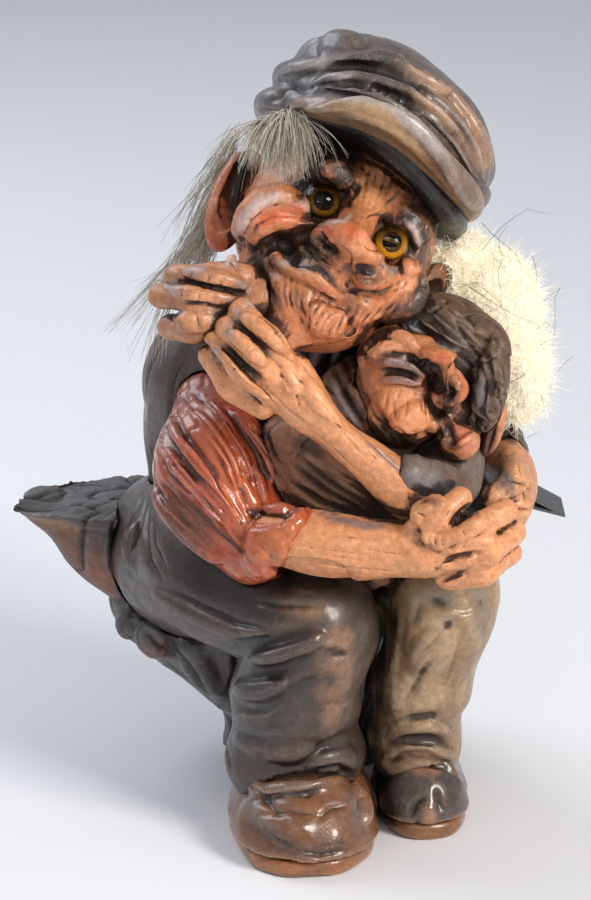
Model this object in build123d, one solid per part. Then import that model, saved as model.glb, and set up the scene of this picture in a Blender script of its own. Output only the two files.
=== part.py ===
"""Two folk trolls hugging on a tree stump: a cast, painted figure group with glass eyes and glued-on hair.

Millimetres, +Z up, the trolls look towards -Y. Each cast section is a closed solid. A section is cut by the
ones it seats on, so a forearm plugs into its sleeve, an eye into its socket and a wig onto its scalp.
"""

import math
import os

from build123d import *

# Glass eyes
EYE_D = 11.0
EYE_BULGE = 3.8
EYE_FIT = 0.1
IRIS_T = 1.2
PUPIL_D = 5.6
PUPIL_T = 0.5
EYE_SPACING = 25.0
EYE_HEIGHT = 4.0
EYE_FORWARD = 27.0
LID_FLARE = 2.5

# Big troll's head, turned about its own centre
HEAD_AT = (10.6, -20.9, 193.5)
HEAD_ROLL = 32.0
HEAD_PITCH = 28.0
SKULL_R = 32.0
NOSE_R = 9.0
CHEEK_R = 11.0
EAR_LONG = 36.0
EAR_WIDE = 16.0
EAR_THICK = 9.0
EAR_OUT = 33.5

# Cap
CAP_R = 37.0
CAP_RISE = 44.0
CAP_BASE = 22.5
CAP_AT = (-4.6, -3.2)
CAP_NOD = 4.0
CAP_TIP = 5.0
VISOR_AT = (-2.9, -0.9)
VISOR_REACH = 18.0
VISOR_T = 4.4
VISOR_DROOP = 6.3

# Small troll's head
SMALL_HEAD_AT = (36.0, -40.0, 154.0)
SMALL_SKULL_R = 18.0
SMALL_CHEEK_R = 11.5
SMALL_NOSE_R = 6.0

# Hands
FINGER_R = 4.8
FINGERTIP_R = 4.0

# Shoes, each with half its breadth, its toe and its heel along Y, and its height
SOLE_T = 6.0
SOLE_ROUND = 2.4
WELT_OUT = 2.2
RIGHT_SHOE_AT = (0.5, 3.0)
RIGHT_FOOT = dict(half=21.0, toe=-75.0, heel=4.0)
RIGHT_SHOE_H = 33.0
LEFT_SHOE_AT = (40.5, 3.0)
LEFT_FOOT = dict(half=12.5, toe=-46.0, heel=12.0)
LEFT_SHOE_H = 27.0

# Stump
SEAT_H = 74.0
LEDGE_H = 94.0

# Folded card tag
CARD_T = 0.8
CARD_W = 18.0
CARD_L = 34.0
CARD_OPEN = 14.0


def ellipsoid(at, radii, turn=(0, 0, 0)):
    """An egg-like solid with its three half lengths, lofted through ellipses, turned about X, Y and Z."""
    wide, deep, tall = radii
    levels = (-0.995, -0.95, -0.8, -0.45, 0.0, 0.45, 0.8, 0.95, 0.995)
    rings = []
    for level in levels:
        k = math.sqrt(1 - level**2)
        rings.append(Plane(origin=(0, 0, tall * level), x_dir=(0, 1, 0)) * Ellipse(deep * k, wide * k))
    return Pos(*at) * Rot(*turn) * loft(rings)


def limb(*stations):
    """A loft through ellipses square to a route of (place, half width, half depth), with rounded ends."""
    places = [Vector(*station[0]) for station in stations]
    last = len(places) - 1
    spans = [places[min(i + 1, last)] - places[max(i - 1, 0)] for i in range(last + 1)]
    tangents = [span.normalized() for span in spans]
    axes = (Vector(0, 1, 0), Vector(0, 0, 1), Vector(1, 0, 0))
    side = min(axes, key=lambda axis: max(abs(tangent.dot(axis)) for tangent in tangents))

    def section(place, tangent, across, deep):
        upright = side - tangent * side.dot(tangent)
        return Plane(origin=place, x_dir=upright, z_dir=tangent) * Ellipse(deep, across)

    def rounded_end(index, sign):
        _, across, deep = stations[index]
        tangent = tangents[index]
        step = tangent * (sign * min(across, deep))
        rings = ((0.5, 0.87), (0.84, 0.54), (0.97, 0.24))
        return [section(places[index] + step * out, tangent, across * k, deep * k) for out, k in rings]

    middle = [section(places[i], tangents[i], *stations[i][1:]) for i in range(last + 1)]
    return loft(rounded_end(0, -1)[::-1] + middle + rounded_end(last, 1))


def finger(knuckle, joint, tip, size=1.0):
    """A finger from its knuckle over its middle joint to its tip."""
    radii = (FINGER_R * size, FINGER_R * size, FINGERTIP_R * size)
    return limb(*((place, radius, radius) for place, radius in zip((knuckle, joint, tip), radii)))


def fused(*shapes):
    """One solid from overlapping shapes."""
    whole = shapes[0]
    for shape in shapes[1:]:
        whole = whole + shape
    return whole


HEAD = Pos(*HEAD_AT) * Rot(0, HEAD_ROLL, 0) * Rot(-HEAD_PITCH, 0, 0)
SMALL_HEAD = Pos(*SMALL_HEAD_AT)


def eye_place(side):
    """Where an eye sits in the head, with its own axis along +Z and its iris face at zero."""
    return HEAD * Pos(side * EYE_SPACING / 2, -EYE_FORWARD, EYE_HEIGHT) * Rot(90, 0, 0)


def eye_glass(side):
    """The clear dome of a glass eye."""
    bow = ((EYE_D / 2) ** 2 + EYE_BULGE**2) / (2 * EYE_BULGE)
    ball = Pos(0, 0, EYE_BULGE - bow) * Sphere(bow)
    return eye_place(side) * (ball & Pos(0, 0, EYE_BULGE / 2) * Cylinder(EYE_D, EYE_BULGE))


def eye_pupil(side):
    """The black spot let into the front of the iris."""
    return eye_place(side) * Pos(0, 0, -PUPIL_T / 2) * Cylinder(PUPIL_D / 2, PUPIL_T)


def eye_iris(side):
    """The amber disc behind the dome."""
    return eye_place(side) * Pos(0, 0, -IRIS_T / 2) * Cylinder(EYE_D / 2, IRIS_T) - eye_pupil(side)


def eye_socket(side):
    """The room that the eye takes up in the head, flared towards the lids."""
    depth = 14.0
    bore = Pos(0, 0, depth / 2 - IRIS_T) * Cylinder(EYE_D / 2 + EYE_FIT, depth)
    flare = Pos(0, 0, depth / 2 + EYE_BULGE / 2) * Cone(EYE_D / 2, EYE_D / 2 + LID_FLARE * 2, depth)
    return eye_place(side) * fused(bore, flare)


def big_head():
    """The old troll's head: skull, brows, nose, cheeks, lips and bearded chin, with sockets for the eyes."""
    forms = [ellipsoid((0, 3, 6), (SKULL_R, 30, SKULL_R)), ellipsoid((0, -7, -14), (25, 21, 22))]
    for side in (-1, 1):
        forms.append(ellipsoid((side * 22, -18, -6), (CHEEK_R, 10, CHEEK_R)))
        forms.append(ellipsoid((side * 13, -24, 14), (11, 7, 5.5), (0, side * 14, 0)))
        forms.append(ellipsoid((side * NOSE_R, -34, -11), (5, 6, 4.5)))
    forms.append(limb(((0, -26, 10), 5, 5), ((0, -32, 1), 6.5, 6.5), ((0, -37, -7), NOSE_R, 7.5)))
    forms.append(ellipsoid((0, -24, -18), (19, 9, 6)))
    forms.append(limb(((0, -20, -22), 15, 10), ((-1, -21, -31), 12, 9), ((-3, -20, -39), 7, 6)))
    head = HEAD * fused(*forms)
    return head - eye_socket(-1) - eye_socket(1)


def big_ear(side):
    """A long upright ear with a hollow front."""
    shell = ellipsoid((0, 0, 0), (EAR_WIDE / 2, EAR_THICK / 2, EAR_LONG / 2))
    hollow = ellipsoid((0, -EAR_THICK * 0.55, 0), (EAR_WIDE * 0.33, EAR_THICK * 0.6, EAR_LONG * 0.38))
    return HEAD * Pos(side * EAR_OUT, 3, -2) * Rot(0, side * 10, side * 30) * (shell - hollow)


def cap_crown():
    """The slouched crown: turned from a profile whose swellings are the folds, then tipped to one side."""
    swells = ((0.0, 1.0), (0.12, 1.06), (0.21, 1.01), (0.35, 1.07), (0.45, 1.01), (0.58, 1.0), (0.68, 0.92))
    swells += ((0.82, 0.75), (0.93, 0.5), (0.985, 0.25), (1.0, 0.0))
    profile = Spline(*((CAP_R * swell, CAP_RISE * rise) for rise, swell in swells))
    outline = [profile, Line((0, CAP_RISE), (0, 0)), Line((0, 0), (CAP_R, 0))]
    crown = revolve(Plane.XZ * make_face(outline), Axis.Z)
    return HEAD * Pos(*CAP_AT, CAP_BASE) * Rot(CAP_NOD, CAP_TIP, 0) * crown


def cap_visor():
    """The stiff peak: a thick crescent with a rounded rim, drooping a little forward."""
    end_x, end_y = CAP_R - 1, -CAP_R * 0.45
    corner_x, corner_y = CAP_R - 5, -CAP_R * 0.35
    tip_y = -CAP_R - VISOR_REACH
    outline = [
        ThreePointArc((-end_x, end_y), (0, tip_y), (end_x, end_y)),
        Line((end_x, end_y), (corner_x, corner_y)),
        ThreePointArc((corner_x, corner_y), (0, -CAP_R + 6), (-corner_x, corner_y)),
        Line((-corner_x, corner_y), (-end_x, end_y)),
    ]
    sheet = extrude(make_face(outline), VISOR_T)
    rim = [edge for edge in sheet.edges() if edge.length > 3 * CAP_R]
    return HEAD * Pos(*VISOR_AT, CAP_BASE + 4) * Rot(VISOR_DROOP, 0, 0) * fillet(rim, VISOR_T * 0.45)


def small_head():
    """The small troll's face in three-quarter view: brow, hooked nose, full cheek and jutting chin."""
    near_cheek = ellipsoid((-2, -9, -6.5), (SMALL_CHEEK_R, 8, SMALL_CHEEK_R))
    nose = limb(((5, -10, 13), 4, 4), ((12, -15, 8), 4.8, 4.8), ((15.5, -17, 3), SMALL_NOSE_R, 5.5))
    forms = [
        ellipsoid((0, 0, 0), (17, 14, 20)),
        ellipsoid((6, 8, 4), (SMALL_SKULL_R + 1, SMALL_SKULL_R - 1, SMALL_SKULL_R)),
        near_cheek,
        ellipsoid((17, -3, -5), (7, 8, 10)),
        ellipsoid((-3, -8, 14), (11, 6, 4.5), (0, -8, 0)),
        nose,
        ellipsoid((10, -16, 0.5), (4, 4, 3.6)),
        ellipsoid((9, -11, -9), (8, 6, 4)),
        ellipsoid((15, -12, -15), (7, 6.5, 6.5)),
    ]
    return SMALL_HEAD * fused(*forms)


def small_hair():
    """Swept hair over the small troll's crown, with a lock beside the far cheek."""
    crown = ellipsoid((8, 9.5, 7), (SMALL_SKULL_R + 3.5, SMALL_SKULL_R + 2, SMALL_SKULL_R + 1.5))
    lock = ellipsoid((25, -6, 2), (6, 9, 16), (0, 8, 0))
    sweep = ellipsoid((17, 3.5, 8), (15.5, 12.5, 15))
    return SMALL_HEAD * fused(crown, sweep, lock)


def small_ear():
    """The small troll's far ear, below the lock of hair."""
    return SMALL_HEAD * ellipsoid((26.5, -2, -14), (3.4, 5.5, 10), (0, 16, 0))


def near_arm():
    """The small troll's near forearm and long hand, reaching up to the big troll's shoulder."""
    elbow, middle = ((41, -57, 121), 10, 9), ((24, -61, 137), 8.6, 8)
    wrist, palm = ((6, -62, 152), 8.2, 7.5), ((-4, -60, 161), 10.5, 7)
    arm = limb(elbow, middle, wrist, palm)
    fingers = [
        finger((-3, -61, 166), (-9, -64, 176), (-17, -58, 183)),
        finger((-6, -63, 162), (-13, -66, 171), (-21, -59, 178)),
        finger((-9, -62, 157), (-18, -65, 165), (-25, -58, 173)),
        finger((-11, -60, 152), (-21, -62, 158), (-28, -55, 167)),
    ]
    return fused(arm, *fingers)


def small_sleeve():
    """The small troll's near upper arm in its sleeve, down to the cuff."""
    return limb(((47, -33, 131), 13, 13), ((47, -44, 125), 12.5, 12), ((42, -55, 121), 11.5, 10.5))


def far_hand():
    """The small troll's other hand, folded over the big troll's shoulder."""
    palm = limb(((4, -36, 181), 8, 8), ((-11, -44, 184), 12, 9), ((-19, -46, 183), 11, 8))
    fingers = [
        finger((-16, -49, 191), (-26, -52, 192), (-37, -44, 190)),
        finger((-18, -52, 184), (-31, -54, 185), (-42, -45, 184)),
        finger((-22, -51, 177), (-33, -53, 176), (-39, -45, 174), 1.05),
    ]
    return fused(palm, *fingers)


def right_arm():
    """The big troll's bare right forearm and hand, laid across the lap."""
    elbow, middle = ((-6, -55, 106), 12.5, 11.5), ((14, -63, 107), 11.5, 11)
    wrist, palm = ((32, -66, 108), 9.5, 9), ((43, -66, 108), 12, 8.5)
    arm = limb(elbow, middle, wrist, palm)
    fingers = [
        finger((38, -70, 115), (45, -74, 122), (51, -70, 126)),
        finger((46, -72, 113), (56, -74, 118), (65, -67, 121)),
        finger((48, -71, 106), (60, -73, 110), (68, -64, 113)),
        finger((48, -68, 100), (59, -70, 102), (67, -61, 105)),
    ]
    return fused(arm, *fingers)


def left_hand():
    """The big troll's left hand, come round from behind to hold the small troll."""
    palm = limb(((68, 2, 114), 10, 8), ((71, -14, 111), 13, 8), ((69.5, -24, 108), 11, 7))
    fingers = [
        finger((71, -22, 120), (69, -34, 119), (63, -41, 117)),
        finger((72, -23, 111), (70, -36, 110), (64, -43, 108)),
        finger((70, -22, 102), (67, -34, 101), (62, -40, 100)),
    ]
    return fused(palm, *fingers)


def right_sleeve():
    """The full red shirt sleeve, gathered at the shoulder and the elbow."""
    shoulder, upper = ((-28, -14, 137), 13, 12), ((-27, -27, 128), 20, 19)
    lower, elbow = ((-22, -39, 114), 19.5, 19), ((-13, -47, 105), 15, 15)
    return limb(shoulder, upper, lower, elbow)


def left_sleeve():
    """The big troll's left jacket sleeve, round the small troll's back."""
    return limb(((36, 12, 146), 17, 16), ((55, 12, 132), 16, 15), ((66, 5, 117), 11.5, 11.5))


def torso():
    """The jacket: a rounded back from the seat up to the hunched shoulders."""
    seat, waist = ((-6, 18, 80), 41, 33), ((-7, 14, 110), 42.5, 33)
    chest, neck = ((-6, 10, 142), 43, 29), ((4, 2, 164), 29, 24)
    return limb(seat, waist, chest, neck)


def small_torso():
    """The small troll's dress, between the two arms and the big troll's lap."""
    return limb(((14, -28, 104), 32, 22), ((16, -31, 122), 32, 22), ((26, -31, 140), 23, 19))


def small_skirt():
    """The small troll's skirt, spread over the big troll's left thigh."""
    return limb(((36, -20, 98), 18, 16), ((53, -29.5, 103), 17.5, 14), ((61.5, -37, 103.5), 10.4, 9.6))


def right_leg():
    """The big troll's right trouser leg: thigh, knee and crumpled shin."""
    thigh = limb(((-34, 16, 80), 30, 29), ((-22, -12, 84), 29, 28), ((2, -38, 77), 24, 23))
    knee, below = ((4, -43, 74), 23, 23), ((2, -42, 58), 20.5, 21)
    folds = ((0, -39, 46), 22, 22), ((0, -37, 36), 20, 21), ((0, -36, 27), 22, 23)
    shin = limb(knee, below, *folds)
    return fused(thigh, shin)


def left_leg():
    """The big troll's left trouser leg."""
    thigh = limb(((30, 14, 76), 27, 26), ((44, -10, 82), 23, 23), ((48, -30, 80), 19, 19))
    knee, below = ((48, -32, 76), 18, 18), ((44, -30, 58), 16, 16)
    folds = ((41, -27, 46), 17, 17), ((40, -25, 36), 15, 16), ((39, -24, 27), 16.5, 17)
    shin = limb(knee, below, *folds)
    return fused(thigh, shin)


def shoe_outline(half, toe, heel, grow=0.0):
    """A rounded sole outline along Y, from heel to toe, widest at the ball of the foot."""
    ball, back = half + grow, half * 0.8 + grow
    front, rear = toe - grow, heel + grow
    right_side = [(ball * 0.72, front + ball * 0.34), (ball, front + ball * 1.25), (back, rear - back * 0.9)]
    left_side = [(-x, y) for x, y in reversed(right_side)]
    return make_face(Spline((0, front), *right_side, (0, rear), *left_side, periodic=True))


def shoe_sole(place, foot):
    """The flat sole with its rounded welt."""
    x, turn = place
    slab = extrude(shoe_outline(grow=WELT_OUT, **foot), SOLE_T)
    return Pos(x, 0, 0) * Rot(0, 0, turn) * fillet(slab.edges(), SOLE_ROUND)


def shoe_upper(place, foot, height):
    """The swollen shoe above its sole."""
    x, turn = place
    half, toe, heel = foot["half"], foot["toe"], foot["heel"]
    body = ellipsoid((0, (toe + heel) / 2, SOLE_T - 1), (half, (heel - toe) / 2, height - SOLE_T))
    cap = ellipsoid((0, toe + half, SOLE_T + 2), (half * 0.97, half * 0.98, height * 0.62))
    above = Pos(0, 0, SOLE_T + 50) * Box(200, 200, 100)
    return Pos(x, 0, 0) * Rot(0, 0, turn) * (fused(body, cap) & above)


def stump():
    """The stump: a waisted root foot, a broad seat and a ledge of bark to one side."""
    rings = ((10, 40, 0, 36, 30), (4, 33, 24, 38, 34), (-8, 26, 46, 51, 40), (-8, 25, SEAT_H, 48, 40))
    root = loft([Plane(origin=(x, y, z)) * Ellipse(wide, deep) for x, y, z, wide, deep in rings])
    outline = Spline((-95, 16), (-85, 38), (-60, 48), (-36, 44), (-34, 12), (-58, 2), (-80, 4), periodic=True)
    waist = Plane(origin=(-46, 24, 60)) * Ellipse(18, 20)
    return fused(root, loft([waist, Plane(origin=(0, 0, LEDGE_H)) * make_face(outline)]))


def card_tag():
    """A blank folded card, tucked by its leaves behind the left sleeve."""
    leaf = Pos(-CARD_L / 2, 0, 0) * Box(CARD_L, CARD_W, CARD_T)
    leaves = [Rot(0, turn * CARD_OPEN / 2, 0) * leaf for turn in (-1, 1)]
    fold = Rot(90, 0, 0) * Cylinder(CARD_T / 2, CARD_W)
    return Pos(89, 6, 97) * Rot(0, 22, 0) * fused(*leaves, fold)


def forelock():
    """The tuft of coarse hair that hangs from under the cap."""
    return HEAD * limb(((-33, -24, 19), 5, 5), ((-32, -31, 8), 8, 6), ((-28, -33, -6), 8, 5))


def side_hair():
    """The long hair behind the big troll's right ear."""
    root, swell = ((-14, 2, 213), 8, 8), ((-25, 0, 199), 10, 10)
    fall, tip = ((-37, -4, 180), 9, 9), ((-46, -10, 166), 6, 6)
    return limb(root, swell, fall, tip)


def wool():
    """The small troll's cream wool, standing out behind the head."""
    forms = [((62, -4, 166), (19, 18, 24)), ((72, -2, 148), (12, 15, 20)), ((52, -2, 182), (13, 14, 13))]
    return fused(*(ellipsoid(at, radii) for at, radii in forms))


EYES = {
    f"{name}_eye_{part}": (lambda make=make, side=side: make(side), ())
    for name, side in (("right", -1), ("left", 1))
    for part, make in (("glass", eye_glass), ("pupil", eye_pupil), ("iris", eye_iris))
}

# Every piece with its maker and the earlier pieces that it seats on
PIECES = EYES | {
    "big_head": (big_head, ()),
    "big_right_ear": (lambda: big_ear(-1), ("big_head",)),
    "big_left_ear": (lambda: big_ear(1), ("big_head",)),
    "cap_crown": (cap_crown, ("big_head",)),
    "cap_visor": (cap_visor, ("big_head", "cap_crown")),
    "forelock": (forelock, ("big_head", "cap_visor", "cap_crown")),
    "small_head": (small_head, ("big_head", "big_left_ear")),
    "small_hair": (small_hair, ("small_head", "big_head", "big_left_ear")),
    "small_ear": (small_ear, ("small_head", "small_hair")),
    "far_hand": (far_hand, ("big_head",)),
    "near_arm": (near_arm, ("far_hand", "big_head")),
    "right_arm": (right_arm, ()),
    "small_sleeve": (small_sleeve, ("near_arm", "small_head", "right_arm")),
    "left_hand": (left_hand, ("small_ear",)),
    "right_sleeve": (right_sleeve, ("right_arm", "near_arm")),
    "left_sleeve": (left_sleeve, ("left_hand",)),
    "small_torso": (
        small_torso,
        ("small_head", "small_hair", "small_sleeve", "right_arm", "right_sleeve", "big_head"),
    ),
    "torso": (torso, ("big_head", "right_sleeve", "left_sleeve", "small_torso", "small_head", "small_hair")),
    "right_sole": (lambda: shoe_sole(RIGHT_SHOE_AT, RIGHT_FOOT), ()),
    "left_sole": (lambda: shoe_sole(LEFT_SHOE_AT, LEFT_FOOT), ("right_sole",)),
    "right_shoe": (lambda: shoe_upper(RIGHT_SHOE_AT, RIGHT_FOOT, RIGHT_SHOE_H), ()),
    "left_shoe": (lambda: shoe_upper(LEFT_SHOE_AT, LEFT_FOOT, LEFT_SHOE_H), ("right_shoe",)),
    "right_leg": (right_leg, ("right_shoe", "right_sleeve", "right_arm", "torso", "small_torso")),
    "left_leg": (left_leg, ("left_shoe", "right_leg", "torso", "small_torso", "right_arm")),
    "small_skirt": (small_skirt, ("small_torso", "small_sleeve", "left_leg", "left_hand", "right_arm")),
    "wool": (
        wool,
        ("small_hair", "small_head", "big_head", "cap_crown", "big_left_ear", "left_sleeve", "torso"),
    ),
    "side_hair": (side_hair, ("big_head", "big_right_ear", "cap_crown", "torso", "far_hand")),
    "card_tag": (card_tag, ("left_hand", "left_sleeve")),
    "stump": (stump, ("torso", "right_leg", "left_leg", "right_sole", "left_sole")),
}


def seated(made, make, seats):
    """A piece cut to the faces of the pieces it seats on, without the crumbs that a cut may leave."""
    shape = make()
    for name in seats:
        shape = shape - made[name]
    return max(shape.solids(), key=lambda solid: solid.volume)


def main():
    """Builds the pieces in order, stands the group over the middle of its foot and writes their files."""
    made = {}
    for name, (make, seats) in PIECES.items():
        made[name] = seated(made, make, seats)
    boxes = [shape.bounding_box() for shape in made.values()]
    middle_x = (min(box.min.X for box in boxes) + max(box.max.X for box in boxes)) / 2
    middle_y = (min(box.min.Y for box in boxes) + max(box.max.Y for box in boxes)) / 2
    stand = Pos(-middle_x, -middle_y, 0)
    os.makedirs("parts", exist_ok=True)
    for name, shape in made.items():
        export_step(stand * shape, f"parts/{name}.step")


if __name__ == "__main__":
    main()
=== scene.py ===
"""Two hugging trolls on a tree stump, a cast and painted ornament with glass eyes and tufts of hair."""

import logging
import math
from dataclasses import dataclass
from enum import Enum

import bpy
import numpy as np
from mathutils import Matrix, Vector
from mathutils.bvhtree import BVHTree


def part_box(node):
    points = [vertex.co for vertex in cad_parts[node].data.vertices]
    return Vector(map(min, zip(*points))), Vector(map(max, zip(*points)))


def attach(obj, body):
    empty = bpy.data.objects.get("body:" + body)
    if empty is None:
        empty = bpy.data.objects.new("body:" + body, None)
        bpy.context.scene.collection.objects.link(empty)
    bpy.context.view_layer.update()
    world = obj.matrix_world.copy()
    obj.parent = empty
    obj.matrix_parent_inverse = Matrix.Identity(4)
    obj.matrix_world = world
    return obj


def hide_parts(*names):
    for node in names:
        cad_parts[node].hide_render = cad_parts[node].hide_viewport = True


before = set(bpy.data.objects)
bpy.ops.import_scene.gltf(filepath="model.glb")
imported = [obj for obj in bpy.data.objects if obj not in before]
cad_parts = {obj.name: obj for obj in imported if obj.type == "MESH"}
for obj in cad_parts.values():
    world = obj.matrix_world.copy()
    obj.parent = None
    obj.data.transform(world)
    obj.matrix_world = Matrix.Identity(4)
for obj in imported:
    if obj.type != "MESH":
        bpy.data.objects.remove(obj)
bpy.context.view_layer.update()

log = logging.getLogger("troll")
MM = 0.001
Path = tuple[tuple[float, float], ...]
Rgb = tuple[int, int, int]
Way = tuple[float, float, float]
Socket = bpy.types.NodeSocket
# Rows of a table: sizes in millimetres and colours, then paths in the photograph's pixels.
ToolRows = tuple[tuple[float, float, str], ...]
PaintRows = tuple[tuple[float, Rgb, float, str], ...]


def linear(rgb: Rgb) -> np.ndarray:
    """Returns a display colour as linear light."""
    c = np.asarray(rgb, float) / 255
    return np.where(c <= 0.04045, c / 12.92, ((c + 0.055) / 1.055) ** 2.4)


def only(obj: bpy.types.Object) -> None:
    """Selects one object and makes it active.

    Args:
        obj: the object.
    """
    bpy.ops.object.select_all(action="DESELECT")
    obj.select_set(True)
    bpy.context.view_layer.objects.active = obj


class Noise:
    """Smooth seeded value noise in space.

    Args:
        seed: picks the lattice of values.
        cell: size of one cell, in metres.
    """

    SIZE = 64

    def __init__(self, seed: int, cell: float) -> None:
        """Fills the lattice."""
        self.cell = cell
        self.values = np.random.default_rng(seed).random((self.SIZE,) * 3) * 2 - 1

    def at(self, points: np.ndarray) -> np.ndarray:
        """Returns one value from -1 to 1 for each point.

        Args:
            points: places in metres, one row each.

        Returns:
            The values.
        """
        p = points / self.cell
        low = np.floor(p).astype(int)
        t = p - low
        t = t * t * (3 - 2 * t)
        total = np.zeros(len(p))
        for dx in (0, 1):
            for dy in (0, 1):
                for dz in (0, 1):
                    i = (low + (dx, dy, dz)) % self.SIZE
                    w = np.abs(1 - dx - t[:, 0]) * np.abs(1 - dy - t[:, 1]) * np.abs(1 - dz - t[:, 2])
                    total += w * self.values[i[:, 0], i[:, 1], i[:, 2]]
        return total


AIM_HEIGHT = 119 * MM
LAYOUT_EYE = (29.640 * MM, -42.332 * MM)


@dataclass(frozen=True)
class PhotoCamera:
    """The photograph's point of view, in the frame of its 591 by 900 pixels."""

    width: int = 591
    height: int = 900
    elevation: float = math.radians(18)
    distance: float = 1.1
    focal_px: float = 1.1 / (0.33 * MM)
    target: Way = (0.0, 0.0, AIM_HEIGHT)
    sensor: float = 24

    @property
    def forward(self) -> np.ndarray:
        """The direction of view."""
        return np.array((0, math.cos(self.elevation), -math.sin(self.elevation)))

    @property
    def up(self) -> np.ndarray:
        """The picture's upright direction."""
        return np.array((0, math.sin(self.elevation), math.cos(self.elevation)))

    @property
    def place(self) -> np.ndarray:
        """Where the camera stands."""
        return np.array(self.target) - self.distance * self.forward

    def rays(self, pixels: np.ndarray) -> np.ndarray:
        """Returns the unit direction through each pixel.

        Args:
            pixels: one row for each pixel.

        Returns:
            The directions.
        """
        x = (pixels[:, 0] - self.width / 2)[:, None] * np.array((1.0, 0, 0))
        y = (self.height / 2 - pixels[:, 1])[:, None] * self.up
        d = self.focal_px * self.forward + x + y
        return d / np.linalg.norm(d, axis=1)[:, None]

    def pixels(self, points: np.ndarray) -> tuple[np.ndarray, np.ndarray]:
        """Returns the pixel that each point is seen at, and its depth.

        Args:
            points: places in metres.

        Returns:
            The pixels and the depths.
        """
        d = points - self.place
        depth = d @ self.forward
        x = self.width / 2 + self.focal_px * d[:, 0] / depth
        y = self.height / 2 - self.focal_px * (d @ self.up) / depth
        return np.stack((x, y), axis=1), depth

    def mount(self) -> None:
        """Puts the scene's camera in place."""
        data = bpy.data.cameras.new("photo_camera")
        data.sensor_fit = "VERTICAL"
        data.sensor_height = self.sensor
        data.lens = self.sensor * self.focal_px / self.height
        data.clip_end = 20
        obj = bpy.data.objects.new("photo_camera", data)
        obj.location = self.place
        obj.rotation_euler = (math.pi / 2 - self.elevation, 0, 0)
        bpy.context.scene.collection.objects.link(obj)
        bpy.context.scene.camera = obj


def photo_camera() -> PhotoCamera:
    """Returns the camera, placed by the glass eye that the layout was drawn round.

    Returns:
        The camera.
    """
    low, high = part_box("left_eye_iris")
    x, y = ((low[i] + high[i]) / 2 for i in (0, 1))
    return PhotoCamera(target=(x - LAYOUT_EYE[0], y - LAYOUT_EYE[1], AIM_HEIGHT))


CAMERA = photo_camera()


def paths(text: str) -> list[Path]:
    """Returns the paths in a text such as "10,20 30,40; 50,60 70,80"."""
    lines = [line.split() for line in text.split(";")]
    return [tuple(tuple(float(v) for v in point.split(",")) for point in line) for line in lines]


def shared_out(path: Path, count: int) -> np.ndarray:
    """Returns points along a path, the same number on each of its legs.

    Args:
        path: pixels over the photograph.
        count: how many points.

    Returns:
        The points' pixels.
    """
    p = np.array(path)
    share, own = np.linspace(0, 1, count), np.linspace(0, 1, len(p))
    return np.stack([np.interp(share, own, p[:, k]) for k in (0, 1)], 1)


def resampled(path: Path, step: float = 2.0) -> np.ndarray:
    """Returns points evenly spaced along a path, by default 2 pixels apart.

    Args:
        path: pixels or places.
        step: how far apart.

    Returns:
        The points.
    """
    p = np.asarray(path, float)
    if len(p) == 1:
        return p
    run = np.concatenate(([0], np.cumsum(np.linalg.norm(np.diff(p, axis=0), axis=1))))
    at = np.linspace(0, run[-1], max(3, int(run[-1] / step) + 1))
    return np.stack([np.interp(at, run, p[:, i]) for i in range(p.shape[1])], axis=1)


@dataclass(frozen=True)
class Stroke:
    """One pull of the modelling tool, drawn over the photograph.

    A positive rise leaves a ridge and a negative one a groove.
    """

    path: Path
    width: float
    rise: float


@dataclass(frozen=True)
class Dab:
    """One stroke of paint, drawn over the photograph."""

    path: Path
    width: float
    colour: Rgb
    strength: float


@dataclass(frozen=True)
class Coil:
    """A roll of clay pressed on along a path, drawn over the photograph."""

    path: Path
    radius: float
    lift: float


def strokes(rows: ToolRows) -> list[Stroke]:
    """Returns tool strokes from rows of width, rise and paths."""
    return [Stroke(p, width, rise) for width, rise, text in rows for p in paths(text)]


def dabs(rows: PaintRows) -> list[Dab]:
    """Returns paint strokes from rows of width, colour, strength and paths."""
    return [Dab(p, width, colour, strength) for width, colour, strength, text in rows for p in paths(text)]


def coils(rows: ToolRows) -> list[Coil]:
    """Returns rolls of clay from rows of radius, lift and paths."""
    return [Coil(p, radius, lift) for radius, lift, text in rows for p in paths(text)]


def tubes(lines: np.ndarray, radii: np.ndarray, sides: int) -> tuple[np.ndarray, np.ndarray]:
    """Returns the points and triangles of round tubes along lines.

    Args:
        lines: tubes by stations by 3.
        radii: tubes by stations.
        sides: corners of each ring.

    Returns:
        The points and the triangles.
    """
    count, stations = lines.shape[:2]
    along = np.gradient(lines, axis=1)
    along /= np.linalg.norm(along, axis=2, keepdims=True) + 1e-12
    ref = np.where(np.abs(along[:, :1, 2:]) < 0.9, (0.0, 0.0, 1.0), (1.0, 0.0, 0.0))
    u = np.cross(along, np.broadcast_to(ref, along.shape))
    u /= np.linalg.norm(u, axis=2, keepdims=True) + 1e-12
    v = np.cross(along, u)
    a = np.arange(sides) * (2 * math.pi / sides)
    ring = u[:, :, None] * np.cos(a)[:, None] + v[:, :, None] * np.sin(a)[:, None]
    points = (lines[:, :, None] + ring * radii[:, :, None, None]).reshape(-1, 3)
    k, side = np.meshgrid(np.arange(stations - 1), np.arange(sides), indexing="ij")
    a0 = k * sides + side
    a1 = k * sides + (side + 1) % sides
    lower = np.stack((a0, a1, a1 + sides), -1).reshape(-1, 3)
    upper = np.stack((a0, a1 + sides, a0 + sides), -1).reshape(-1, 3)
    tri = np.concatenate((lower, upper))
    faces = (tri[None] + (np.arange(count) * stations * sides)[:, None, None]).reshape(-1, 3)
    return points, faces


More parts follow.
